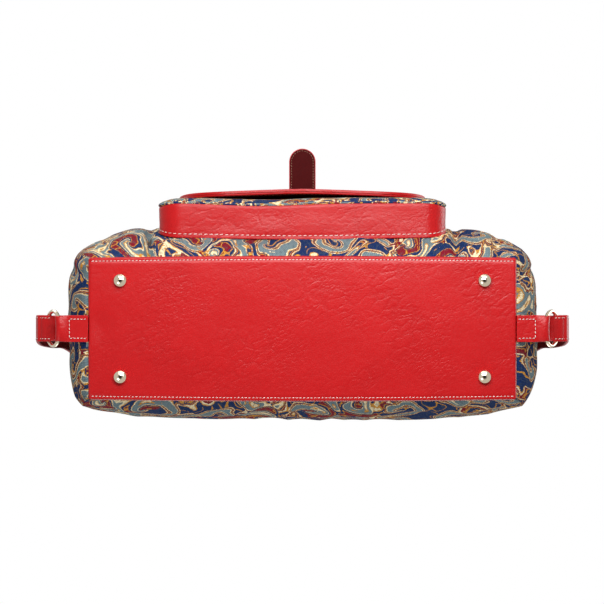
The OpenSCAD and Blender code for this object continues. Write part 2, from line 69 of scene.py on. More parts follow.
def lerp(a: float, b: float, s: float) -> float:
    """The value a share s of the way from a to b."""
    return a + (b - a) * s


def clamp(x: float, low: float = 0.0, high: float = 1.0) -> float:
    """The value from low to high that is nearest to x."""
    return max(low, min(high, x))


def eased(s: float) -> float:
    """A share of 0 to 1, slowed at both ends."""
    return s * s * (3 - 2 * s)


def dimple(d: float, width: float) -> float:
    """A smooth bump of height 1 at distance 0 that fades out over width."""
    return math.exp(-(d / width) ** 2)


def turns(count: int) -> list[float]:
    """Even steps of a full turn, in radians."""
    return [2 * math.pi * k / count for k in range(count)]


def lumps(at: Triple, waves: Triple, start: Triple = (0.0, 0.0, 0.0)) -> float:
    """Soft noise of about -1 to 1 at a point, from the waves per millimetre along each axis."""
    return noise.noise(Vector([a * w + s for a, w, s in zip(at, waves, start)]))


class Body(Enum):
    """The frame's moving bodies."""

    BAG = "bag"
    FLAP = "flap"
    TAB = "closure_tab"
    SLIDER = "zip_slider"
    PULL = "zip_pull"
    RING_LEFT = "ring_left"
    RING_RIGHT = "ring_right"


class Side(Enum):
    """Left and right of the bag, as a sign along X."""

    LEFT = -1
    RIGHT = 1

    def word(self) -> str:
        """The side's name in node names."""
        return self.name.lower()

    def turn(self, p: Vector) -> Vector:
        """A point of the right side, moved to this side."""
        return Vector((self.value * p.x, p.y, p.z))


class Value:
    """A node's output that takes part in Python arithmetic."""

    def __init__(self, shader: "Shader", socket: bpy.types.NodeSocket) -> None:
        """Keeps the socket and the shader that it belongs to."""
        self.shader = shader
        self.socket = socket

    def math(self, operation: str, *terms: "Value | float") -> "Value":
        """Adds one Math node.

        Args:
            operation: the node's operation.
            terms: the values or numbers of its sockets.
        Returns:
            The node's result.
        """
        return self.shader.node("ShaderNodeMath", {"operation": operation}, dict(enumerate(terms)))["Value"]

    def __add__(self, other: "Value | float") -> "Value":
        """Sum."""
        return self.math("ADD", self, other)

    def __sub__(self, other: "Value | float") -> "Value":
        """Difference."""
        return self.math("SUBTRACT", self, other)

    def __rsub__(self, other: float) -> "Value":
        """Difference from a number."""
        return self.math("SUBTRACT", other, self)

    def __mul__(self, other: "Value | float") -> "Value":
        """Product."""
        return self.math("MULTIPLY", self, other)

    def above(self, limit: float) -> "Value":
        """1 where the value is over the limit, else 0."""
        return self.math("GREATER_THAN", self, limit)

    def most(self, other: float) -> "Value":
        """The larger of the value and a number."""
        return self.math("MAXIMUM", self, other)

    def size(self) -> "Value":
        """The value without its sign."""
        return self.math("ABSOLUTE", self)

    def angle(self, x: "Value") -> "Value":
        """The direction of a point with this value as its height and x as its distance along."""
        return self.math("ARCTAN2", self, x)

    def wave(self) -> "Value":
        """The sine of the value."""
        return self.math("SINE", self)

    def ripple(self) -> "Value":
        """The sine of the value, from 0 to 1."""
        return self.wave() * 0.5 + 0.5


class Shader:
    """The node tree of a material or of the world."""

    def __init__(self, owner: "bpy.types.Material | bpy.types.World") -> None:
        """Starts with an empty tree.

        Args:
            owner: the material or world.
        """
        self.owner = owner
        owner.use_nodes = True
        self.tree = owner.node_tree
        self.tree.nodes.clear()

    @staticmethod
    def _socket(sockets: bpy.types.bpy_prop_collection, key: "str | int") -> bpy.types.NodeSocket:
        """Finds a socket by its place, its identifier or its name."""
        if isinstance(key, int):
            return sockets[key]
        named = [s for s in sockets if s.identifier == key]
        return named[0] if named else sockets[key]

    def node(self, kind: str, settings: dict, inputs: dict) -> dict[str, Value]:
        """Adds a node.

        Args:
            kind: the node's type.
            settings: its properties, with a ramp's stops as (place, colour) pairs under "stops".
            inputs: the values or links of its sockets, by place, identifier or name.
        Returns:
            Its outputs, by identifier.
        """
        made = self.tree.nodes.new(kind)
        for key, value in settings.items():
            if key == "stops":
                ramp = made.color_ramp
                ramp.interpolation = "CONSTANT"
                while len(ramp.elements) < len(value):
                    ramp.elements.new(1.0)
                for element, (place, colour) in zip(ramp.elements, value):
                    element.position = place
                    element.color = (*colour, 1.0)
            else:
                setattr(made, key, value)
        for key, value in inputs.items():
            socket = self._socket(made.inputs, key)
            if isinstance(value, Value):
                self.tree.links.new(value.socket, socket)
            else:
                socket.default_value = value
        return {s.identifier: Value(self, s) for s in made.outputs}

    def mix(self, factor: "Value | float", a: "Value | Triple", b: "Value | Triple",
            way: str = "MIX") -> Value:
        """A colour between a and b, or another way of laying b over a."""
        colours = [v if isinstance(v, Value) else (*v, 1.0) for v in (a, b)]
        inputs = {"Factor_Float": factor, "A_Color": colours[0], "B_Color": colours[1]}
        return self.node("ShaderNodeMix", {"data_type": "RGBA", "blend_type": way}, inputs)["Result_Color"]

    def blend(self, factor: "Value | float", a: Value, b: Value) -> Value:
        """A shader between two shaders."""
        return self.node("ShaderNodeMixShader", {}, {0: factor, 1: a, 2: b})["Shader"]

    def coords(self, kind: str = "Object") -> Value:
        """The surface's own coordinates, in metres."""
        return self.node("ShaderNodeTexCoord", {}, {})[kind]

    def axes(self, vector: Value) -> dict[str, Value]:
        """A vector's three parts, by the names X, Y and Z."""
        return self.node("ShaderNodeSeparateXYZ", {}, {"Vector": vector})

    def stretch(self, vector: Value, scale: Triple) -> Value:
        """The coordinates scaled along each axis."""
        return self.node("ShaderNodeMapping", {}, {"Vector": vector, "Scale": scale})["Vector"]

    def vector(self, operation: str, a: Value, b: "Value | Triple | float") -> Value:
        """A vector sum, difference, product with a number, or rounding to steps."""
        key = "Scale" if operation == "SCALE" else 1
        return self.node("ShaderNodeVectorMath", {"operation": operation}, {0: a, key: b})["Vector"]

    def ease(self, value: Value, low: float, high: float, start: float = 0.0, end: float = 1.0) -> Value:
        """A smooth step from start at low to end at high."""
        inputs = {"Value": value, "From Min": low, "From Max": high, "To Min": start, "To Max": end}
        return self.node("ShaderNodeMapRange", {"interpolation_type": "SMOOTHSTEP"}, inputs)["Result"]

    def warp(self, vector: Value, size: float) -> Value:
        """The coordinates pushed about by noise of a size in metres, as far as that size."""
        inputs = {"Vector": vector, "Scale": 1.0 / size, "Detail": 1.5}
        push = self.node("ShaderNodeTexNoise", {}, inputs)["Color"]
        push = self.vector("SCALE", self.vector("SUBTRACT", push, (0.5, 0.5, 0.5)), size)
        return self.vector("ADD", vector, push)

    def noise(self, vector: Value, size: float, detail: float = 2.0, twist: float = 0.0) -> Value:
        """Soft noise from 0 to 1 with lumps of the given size in metres."""
        inputs = {"Vector": vector, "Scale": 1.0 / size, "Detail": detail, "Distortion": twist}
        return self.node("ShaderNodeTexNoise", {}, inputs)["Fac"]

    def bump(self, height: Value, depth: float, strength: float) -> Value:
        """A surface normal from a height of 0 to 1 and a depth in metres."""
        inputs = {"Height": height, "Distance": depth, "Strength": strength}
        return self.node("ShaderNodeBump", {}, inputs)["Normal"]

    def finish(self, inputs: dict) -> bpy.types.Material:
        """Ends the tree in a Principled shader.

        Args:
            inputs: the shader's sockets.
        Returns:
            The material.
        """
        shader = self.node("ShaderNodeBsdfPrincipled", {}, inputs)["BSDF"]
        self.node("ShaderNodeOutputMaterial", {}, {"Surface": shader})
        return self.owner


def shade(colour: Triple, share: float) -> Triple:
    """A colour made darker by a share."""
    return tuple(share * c for c in colour)


@dataclass(frozen=True)
class Leather:
    """Pebbled leather with branching creases that lie in patches, and painted shade along the creases.

    Colours are linear red, green and blue, sizes are metres, depths are shares of the relief.
    """

    name: str
    deep: Triple
    bright: Triple
    slot: str
    grain: float = 0.0011
    crease: float = 0.0088
    lie: float = -1.0
    relief: float = 0.00043
    rough: float = 0.4
    shine: float = 0.5
    crease_long: Triple = (1.0, 0.45, 1.0)
    short_share: float = 0.45
    pebble_depth: float = 0.26
    long_depth: float = 0.36
    short_depth: float = 0.3
    soft_depth: float = 0.5

    def creases(self, s: Shader, at: Value, size: float, width: float) -> Value:
        """A net of crease lines.

        Args:
            s: the material's tree.
            at: the surface's coordinates.
            size: the net's mesh in metres.
            width: the lines' width as a share of the mesh.
        Returns:
            1 on the lines, 0 between them.
        """
        turn = {"Vector": at, "Angle": self.lie}
        turned = s.node("ShaderNodeVectorRotate", {"rotation_type": "Z_AXIS"}, turn)["Vector"]
        net = {"Vector": s.stretch(s.warp(turned, size * 0.8), self.crease_long), "Scale": 1.0 / size}
        far = s.node("ShaderNodeTexVoronoi", {"feature": "DISTANCE_TO_EDGE"}, net)["Distance"]
        return 1.0 - s.ease(far, 0.0, width)

    def material(self) -> bpy.types.Material:
        """Builds the material.

        Returns:
            The leather.
        """
        s = Shader(bpy.data.materials.new(self.name))
        at = s.coords()
        balls = {"Vector": at, "Scale": 1.0 / self.grain, "Smoothness": 0.6}
        pebble = s.node("ShaderNodeTexVoronoi", {"feature": "SMOOTH_F1"}, balls)["Distance"]
        patches = s.ease(s.noise(at, 0.06), 0.42, 0.62)
        others = s.ease(s.noise(s.vector("ADD", at, (0.3, 0.1, 0.2)), 0.05), 0.44, 0.64)
        long_ones = self.creases(s, at, self.crease, 0.17) * patches
        short_ones = self.creases(s, at, self.crease * self.short_share, 0.24) * others
        grooves = long_ones * self.long_depth + short_ones * self.short_depth
        height = pebble * self.pebble_depth - grooves + s.noise(at, 0.005) * self.soft_depth
        tone = s.noise(at, 0.045, 3.0) * 0.7 + pebble * 0.3
        colour = s.mix(tone, self.deep, self.bright)
        # painted shade: the colour is darkened towards a deeper red along the crease lines
        colour = s.mix(long_ones * 0.12 + short_ones * 0.08, colour, shade(self.deep, 0.7))
        rough = s.noise(at, 0.004) * 0.12 + (self.rough - 0.06)
        return s.finish({"Base Color": colour, "Roughness": rough, "Specular IOR Level": self.shine,
                         "Normal": s.bump(height, self.relief, 0.7)})


@dataclass(frozen=True)
class Tapestry:
    """A jacquard of curling scrolls and marbled fields, over the piece's own UV map in metres."""

    name: str
    slot: str = "tapestry"
    navy: Triple = (0.011, 0.03, 0.11)
    slate: Triple = (0.17, 0.235, 0.255)
    wine: Triple = (0.22, 0.011, 0.022)
    gold: Triple = (0.62, 0.28, 0.04)
    cream: Triple = (0.9, 0.76, 0.47)
    shadow: Triple = (0.3, 0.3, 0.32)
    scroll: float = 0.048
    curl_turns: float = 13.0
    yarn: float = 0.0006
    rib: float = 0.0019
    relief: float = 0.0004

    def bands(self) -> tuple[list, list]:
        """The bands of colour across a scroll and across a leaf, each as its start and its colour."""
        navy, slate, wine, gold, cream = self.navy, self.slate, self.wine, self.gold, self.cream
        scroll = [(0.0, navy), (0.38, gold), (0.425, cream), (0.49, wine), (0.56, gold), (0.6, navy),
                  (0.66, gold), (0.7, cream), (0.75, slate), (0.95, cream)]
        leaf = [(0.0, wine), (0.26, gold), (0.31, navy), (0.52, gold), (0.56, cream), (0.63, slate),
                (0.84, gold), (0.88, cream), (0.96, gold)]
        return scroll, leaf

    def design(self, s: Shader, flat: Value) -> Value:
        """The woven drawing.

        Args:
            s: the material's tree.
            flat: the cloth's own coordinates.
        Returns:
            Its colour.
        """
        step = s.vector("SNAP", flat, (self.yarn, self.yarn, self.yarn))
        bent = s.warp(step, self.scroll * 0.75)
        lookup = {"Vector": bent, "Scale": 1.0 / self.scroll, "Randomness": 0.85}
        cell = s.node("ShaderNodeTexVoronoi", {"voronoi_dimensions": "2D"}, lookup)
        rim = {"voronoi_dimensions": "2D", "feature": "DISTANCE_TO_EDGE"}
        edge = s.node("ShaderNodeTexVoronoi", rim, lookup)["Distance"]
        arm = s.axes(s.vector("SUBTRACT", bent, cell["Position"]))
        kind = s.node("ShaderNodeSeparateColor", {}, {"Color": cell["Color"]})
        hand = kind["Green"].above(0.5) * 2.0 - 1.0
        winding = arm["Y"].angle(arm["X"]) * hand + cell["Distance"] * self.curl_turns
        curl = (winding + kind["Red"] * 6.28).wave() * 0.48 + 0.5
        window = s.ease(edge, 0.02, 0.16)
        flow = s.noise(bent, self.scroll * 0.7, 1.0, 0.5) * 2.0 - 0.5
        drawn = flow * (1.0 - window) + (curl * 0.8 + flow * 0.2) * window
        drawn = drawn + (s.noise(step, 0.0024, 1.0) - 0.5) * 0.06
        ramps = [s.node("ShaderNodeValToRGB", {"stops": stops}, {"Fac": drawn})["Color"]
                 for stops in self.bands()]
        cloth = s.mix(s.noise(bent, self.scroll * 1.6, 0.0).above(0.55), *ramps)
        veins = s.noise(s.vector("ADD", bent, (0.4, 0.7, 0.0)), self.scroll * 0.3, 0.0)
        vein = (1.0 - (veins - 0.5).size().above(0.022)) * (1.0 - drawn.above(0.3))
        return s.mix(vein, cloth, self.gold)

    def material(self) -> bpy.types.Material:
        """Builds the material.

        Returns:
            The cloth.
        """
        s = Shader(bpy.data.materials.new(self.name))
        flat = s.coords("UV")
        cloth = self.design(s, flat)
        thread = s.axes(flat)
        turn = 2.0 * math.pi / self.rib
        twill = ((thread["X"] + thread["Y"] * 0.6) * turn).ripple()
        weft = (thread["Y"] * (turn * 1.15)).ripple()
        weave = twill * 0.6 + weft * 0.4
        stray = s.noise(s.stretch(flat, (1.0, 0.5, 1.0)), 0.0021)
        worn = s.mix(((stray - 0.47) * 2.2).most(0.0), cloth, shade(self.slate, 0.4))
        colour = s.mix((1.0 - weave) * 0.5, worn, self.shadow, "MULTIPLY")
        height = weave * 0.7 + s.noise(flat, 0.004) * 0.5
        return s.finish({"Base Color": colour, "Roughness": 0.88, "Specular IOR Level": 0.03,
                         "Normal": s.bump(height, self.relief, 0.8)})


@dataclass(frozen=True)
class Metal:
    """Polished pale gold plating with faint handling marks."""

    name: str
    colour: Triple = (0.86, 0.74, 0.55)
    rough: float = 0.1
    slot: str = "pale_gold_metal"
    relief: float = 0.00002

    def material(self) -> bpy.types.Material:
        """Builds the material.

        Returns:
            The metal.
        """
        s = Shader(bpy.data.materials.new(self.name))
        marks = s.noise(s.coords(), 0.0016, 3.0)
        colour = s.mix(marks * 0.5, self.colour, shade(self.colour, 0.86))
        rough = marks * 0.1 + (self.rough - 0.05)
        return s.finish({"Base Color": colour, "Metallic": 1.0, "Roughness": rough,
                         "Normal": s.bump(marks, self.relief, 0.5)})


@dataclass(frozen=True)
class Cloth:
    """Plain woven cloth or thread."""

    name: str
    colour: Triple
    slot: str
    pitch: float = 0.0006
    rough: float = 0.8
    relief: float = 0.00015

    def material(self) -> bpy.types.Material:
        """Builds the material.

        Returns:
            The cloth.
        """
        s = Shader(bpy.data.materials.new(self.name))
        at = s.coords()
        axes = s.axes(at)
        step = 2.0 * math.pi / self.pitch
        weave = (axes["X"] * step).wave() * ((axes["Y"] + axes["Z"]) * step).wave() * 0.5 + 0.5
        # partly random tone, partly painted shade: the cloth is darker in the weave's hollows
        tone = s.noise(at, 0.006) * 0.5 + weave * 0.5
        colour = s.mix(tone, shade(self.colour, 0.7), self.colour)
        return s.finish({"Base Color": colour, "Roughness": self.rough, "Specular IOR Level": 0.25,
                         "Normal": s.bump(weave, self.relief, 0.6)})


Finish = Leather | Tapestry | Metal | Cloth


@dataclass
class Workshop:
    """The finishes, and the ways of turning a form into a piece that rides on the frame."""

    red: Leather = Leather("red_leather", (0.336, 0.0021, 0.0032), (0.438, 0.0043, 0.0059), "red_leather",
                           rough=0.36, shine=0.27)
    # painted shade: this near-black backing leather of the flap and the tab stands in for the shade on their
    # undersides
    dark: Leather = Leather("dark_leather", (0.036, 0.0014, 0.0016), (0.056, 0.0024, 0.0027), "dark_leather",
                            relief=0.0002, rough=0.7, shine=0.06)
    inner: Leather = Leather("inner_leather", (0.11, 0.0026, 0.0034), (0.16, 0.004, 0.005), "dark_leather",
                             relief=0.0002, rough=0.6, shine=0.1)
    woven: Tapestry = Tapestry("tapestry")
    gold: Metal = Metal("pale_gold")
    steel: Metal = Metal("magnet_steel", (0.5, 0.5, 0.52), 0.35, "magnet_steel")
    thread: Cloth = Cloth("white_thread", (0.78, 0.7, 0.66), "red_leather", 0.0004, 0.7)
    # painted shade: a dimmed copy of the white thread, for the stitches on the shaded undersides of the flap
    # and the tab
    tan: Cloth = Cloth("painted_shade_thread", (0.3, 0.16, 0.11), "dark_leather", 0.0004, 0.8)
    lining: Cloth = Cloth("lining_twill", (0.06, 0.045, 0.035), "lining")
    tape: Cloth = Cloth("zip_tape_cloth", (0.028, 0.028, 0.045), "zip_tape")
    board: Cloth = Cloth("board_sheet", (0.05, 0.05, 0.05), "board", 0.002, 0.9)
    made: dict[str, bpy.types.Material] = field(default_factory=dict)
    stitch_share: float = 0.74
    stitch_skew: float = 0.12
    stitch_samples: int = 400
    tube_steps: int = 240
    tube_sides: int = 12
    merge_dist: float = 0.001

    def coat(self, finish: Finish) -> bpy.types.Material:
        """The finish's material, made once."""
        if finish.name not in self.made:
            self.made[finish.name] = finish.material()
        return self.made[finish.name]

    def piece(self, name: str, bm: bmesh.types.BMesh, finish: Finish, nodes: tuple[str, ...] = (),
              body: Body = Body.BAG) -> bpy.types.Object:
        """Turns a bmesh in millimetres into a piece of the object.

        Args:
            name: the piece's name.
            bm: its mesh, which is freed.
            finish: what it is made of.
            nodes: the frame's nodes that it stands for.
            body: the body that it rides on.
        Returns:
            The piece.
        """
        bmesh.ops.scale(bm, vec=(MM, MM, MM), verts=bm.verts)
        for face in bm.faces:
            face.smooth = True
        mesh = bpy.data.meshes.new(name)
        bm.to_mesh(mesh)
        bm.free()
        obj = bpy.data.objects.new(name, mesh)
        bpy.context.scene.collection.objects.link(obj)
        mesh.materials.append(self.coat(finish))
        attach(obj, body.value)
        if nodes:
            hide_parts(*nodes)
        LOG.info("%s rides on %s", name, body.value)
        return obj

    def sheet(self, name: str, place: Place, steps: tuple[int, int], size: Pair, thick: float, finish: Finish,
              inside: Vector, nodes: tuple[str, ...] = (), body: Body = Body.BAG, round_edge: float = 0.0,
              chart: Optional[Chart] = None) -> bpy.types.Object:
        """A sheet of cloth or leather over a surface.

        Args:
            name: the piece's name.
            place: the outer surface.
            steps: faces across and along.
            size: the sheet's flat size, for its UV map.
            thick: its thickness, inwards from the surface.
            finish: what it is made of.
            inside: a point that the surface faces away from.
            nodes: the frame's nodes that it stands for.
            body: the body that it rides on.
            round_edge: the radius of its rounded edges.
            chart: the flat place of a point, where it isn't even.
        Returns:
            The piece.
        """
        bm = bmesh.new()
        bmesh.ops.create_grid(bm, x_segments=steps[0], y_segments=steps[1], size=1.0)
        layer = bm.loops.layers.uv.new("UVMap")
        for face in bm.faces:
            for loop in face.loops:
                u, v = loop.vert.co.xy
                flat = chart(u, v) if chart else (u * size[0] / 2, v * size[1] / 2)
                loop[layer].uv = (flat[0] * MM, flat[1] * MM)
        for vert in bm.verts:
            vert.co = place(vert.co.x, vert.co.y)
        bm.normal_update()
        if sum(f.normal.dot(f.calc_center_median() - inside) * f.calc_area() for f in bm.faces) < 0:
            bmesh.ops.reverse_faces(bm, faces=bm.faces)
        obj = self.piece(name, bm, finish, nodes, body)
        wall = obj.modifiers.new("thickness", "SOLIDIFY")
        wall.thickness = thick * MM
        wall.offset = -1.0
        if round_edge:
            bevel = obj.modifiers.new("rounded edge", "BEVEL")
            bevel.width = round_edge * MM
            bevel.segments = 3
            bevel.limit_method = "ANGLE"
            bevel.angle_limit = math.radians(50)
            bevel.harden_normals = False
        return obj

    @staticmethod
    def beads(places: list[Matrix], around: int, rings: int) -> bmesh.types.BMesh:
        """Many copies of a small ball.

        Args:
            places: where each copy goes, with its size.
            around: the ball's faces around.
            rings: its rings.
        Returns:
            Their mesh.
        """
        seed = bmesh.new()
        bmesh.ops.create_uvsphere(seed, u_segments=around, v_segments=rings, radius=1.0)
        spots = [v.co.copy() for v in seed.verts]
        faces = [[v.index for v in f.verts] for f in seed.faces]
        seed.free()
        bm = bmesh.new()
        for place in places:
            made = [bm.verts.new(place @ spot) for spot in spots]
            for face in faces:
                bm.faces.new([made[k] for k in face])
        return bm

    def stitch_places(self, track: Track, pitch: float, radius: float) -> list[Matrix]:
        """Where the stitches of one row go.

        Args:
            track: the row.
            pitch: the distance from stitch to stitch.
            radius: the thread's radius.
        Returns:
            Each stitch's place, turn and size.
        """
        last = self.stitch_samples
        points = [track(k / last) for k in range(last + 1)]
        run = [0.0]
        for (a, _), (b, _) in zip(points, points[1:]):
            run.append(run[-1] + (b - a).length)
        count = max(1, round(run[-1] / pitch))
        step = run[-1] / count
        skew = Matrix.Rotation(self.stitch_skew, 4, "Z")
        grow = Matrix.Diagonal((step * self.stitch_share / 2, radius, radius, 1.0))
        places = []
        k = 0
        for i in range(count):
            target = (i + 0.5) * step
            while run[k + 1] < target and k < last - 1:
                k += 1
            (a, normal), (b, _) = points[k], points[k + 1]
            span = max(run[k + 1] - run[k], 1e-9)
            along = (b - a).normalized()
            across = normal.cross(along).normalized()
            turn = Matrix((along, across, along.cross(across))).transposed().to_4x4()
            places.append(Matrix.Translation(a.lerp(b, (target - run[k]) / span)) @ turn @ skew @ grow)
        return places

    def stitches(self, name: str, tracks: list[Track], pitch: float, body: Body = Body.BAG,
                 radius: float = 0.36, thread: Optional[Cloth] = None) -> None:
        """Rows of thread, one bead for each stitch.

        Args:
            name: the piece's name.
            tracks: the rows.
            pitch: the distance from stitch to stitch.
            body: the body that the thread rides on.
            radius: the thread's radius.
            thread: the thread, where it isn't the white one.
        """
        places = [place for track in tracks for place in self.stitch_places(track, pitch, radius)]
        self.piece(name, self.beads(places, 8, 5), thread or self.thread, body=body)

    def tube(self, name: str, track: Track, radius: float, finish: Finish, body: Body = Body.BAG) -> None:
        """A round bead of material along a track.

        Args:
            name: the piece's name.
            track: its middle line, with the surface's normal.
            radius: its radius.
            finish: what it is made of.
            body: the body that it rides on.
        """
        around, steps = self.tube_sides, self.tube_steps
        bm = bmesh.new()
        layer = bm.loops.layers.uv.new("UVMap")
        loops = []
        run = [0.0]
        for k in range(steps + 1):
            spot, normal = track(k / steps)
            run.append(run[-1] + (track(min(1.0, (k + 1) / steps))[0] - spot).length)
            way = (track(min(1.0, (k + 0.5) / steps))[0] - track(max(0.0, (k - 0.5) / steps))[0]).normalized()
            wide = way.cross(normal).normalized()
            up = wide.cross(way)
            loops.append([bm.verts.new(spot + (wide * math.cos(a) + up * math.sin(a)) * radius)
                          for a in turns(around)])
        girth = 2 * math.pi * radius / around
        for k, (a, b) in enumerate(zip(loops, loops[1:])):
            for j in range(around):
                face = bm.faces.new((a[j], a[(j + 1) % around], b[(j + 1) % around], b[j]))
                spots = ((k, j), (k, j + 1), (k + 1, j + 1), (k + 1, j))
                for loop, (along, turn) in zip(face.loops, spots):
                    loop[layer].uv = (run[along] * MM, turn * girth * MM)
        bm.faces.new(loops[0])
        bm.faces.new(loops[-1])
        bmesh.ops.recalc_face_normals(bm, faces=bm.faces)
        self.piece(name, bm, finish, body=body)

    @staticmethod
    def spin(bm: bmesh.types.BMesh, outline: list[Pair], middle: Pair, steps: int, closed: bool) -> None:
        """Spins an outline about an upright axis.

        Args:
            bm: the mesh that it is added to.
            outline: its points, as distance from the axis and height.
            middle: the axis's place.
            steps: faces around.
            closed: whether the outline's last point joins its first.
        """
        x, y = middle
        line = [bm.verts.new((x + r, y, z)) for r, z in outline]
        ends = line[1:] + line[:1] if closed else line[1:]
        edges = [bm.edges.new(pair) for pair in zip(line, ends)]
        bmesh.ops.spin(bm, geom=line + edges, cent=(x, y, 0), axis=(0, 0, 1), dvec=(0, 0, 0),
                       angle=2 * math.pi, steps=steps, use_merge=True, use_duplicate=False)

    def close(self, bm: bmesh.types.BMesh) -> None:
        """Merges doubled points and turns the faces outwards."""
        bmesh.ops.remove_doubles(bm, verts=bm.verts, dist=self.merge_dist)
        bmesh.ops.recalc_face_normals(bm, faces=bm.faces)

    @staticmethod
    def soften(bm: bmesh.types.BMesh, width: float, segments: int, sharp: float) -> None:
        """Rounds the edges that turn by more than an angle.

        Args:
            bm: the mesh.
            width: the rounding's width.
            segments: its faces.
            sharp: the angle in degrees.
        """
        edges = [e for e in bm.edges if e.is_manifold and e.calc_face_angle() > math.radians(sharp)]
        bmesh.ops.bevel(bm, geom=edges, offset=width, offset_type="OFFSET", affect="EDGES", segments=segments,
                        profile=0.5, clamp_overlap=True, material=-1)

    def polished_copy(self, node: str, body: Body, bevel: float) -> None:
        """A gold copy of a frame's node with softened edges.

        Args:
            node: the node.
            body: the body that it belongs to.
            bevel: the width of the softened edges.
        """
        bm = bmesh.new()
        bm.from_mesh(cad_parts[node].data)
        bmesh.ops.scale(bm, vec=(1 / MM, 1 / MM, 1 / MM), verts=bm.verts)
        bmesh.ops.remove_doubles(bm, verts=bm.verts, dist=0.002)
        bmesh.ops.dissolve_limit(bm, angle_limit=math.radians(1), verts=bm.verts, edges=bm.edges)
        self.soften(bm, bevel, 2, 40)
        self.piece(f"{node}_polished", bm, self.gold, (node,), body)


@dataclass
class BodyForm:
    """The bag's body: the swelling surfaces of its four panels, in millimetres."""

    base_w: float = 400.0
    base_d: float = 134.0
    base_t: float = 2.2
    height: float = 339.0
    top_w: float = 410.0
    top_d: float = 24.0
    seam_in: float = 1.0
    belly_w: float = 17.0
    belly_d: float = 22.5
    front_bulge: float = 30.0
    back_bulge: float = 12.0
    side_bulge: float = 12.0
    front_flat: float = 0.55
    front_cheek: float = 0.6
    fabric_t: float = 2.0
    low_w: float = 0.62
    low_d: float = 0.87
    taper: float = 1.8

    def rise(self, z: float) -> float:
        """The share of the body's height at z."""
        return clamp((z - self.base_t) / (self.height - self.base_t))

    def swell_w(self, z: float) -> float:
        """How far the sides swell at z, from 0 to 1."""
        return math.sin(math.pi * self.rise(z) ** self.low_w)

    def swell_d(self, z: float) -> float:
        """How far the front and back swell at z, from 0 to 1."""
        return math.sin(math.pi * self.rise(z) ** self.low_d)

    def seam_x(self, z: float) -> float:
        """The seams' distance from the middle along X."""
        side = lerp(self.base_w / 2 - self.seam_in, self.top_w / 2, self.rise(z))
        return side + self.belly_w * self.swell_w(z)

    def seam_y(self, z: float) -> float:
        """The seams' distance from the middle along Y."""
        side = lerp(self.base_d / 2 - self.seam_in, self.top_d / 2, self.rise(z) ** self.taper)
        return side + self.belly_d * self.swell_d(z)

    def front_y(self, x: float, z: float) -> float:
        """The front panel's surface."""
        u = clamp(x / self.seam_x(z), -1.0)
        full = (1 - u ** 4) * (self.front_flat + self.front_cheek * u * u)
        return -self.seam_y(z) - self.front_bulge * self.swell_d(z) * full

    def back_y(self, x: float, z: float) -> float:
        """The back panel's surface."""
        u = clamp(x / self.seam_x(z), -1.0)
        return self.seam_y(z) + self.back_bulge * self.swell_d(z) * (1 - u ** 4)

    def side_x(self, y: float, z: float) -> float:
        """The right gusset's surface."""
        v = clamp(y / self.seam_y(z), -1.0)
        return self.seam_x(z) + self.side_bulge * self.swell_w(z) * (1 - v * v)


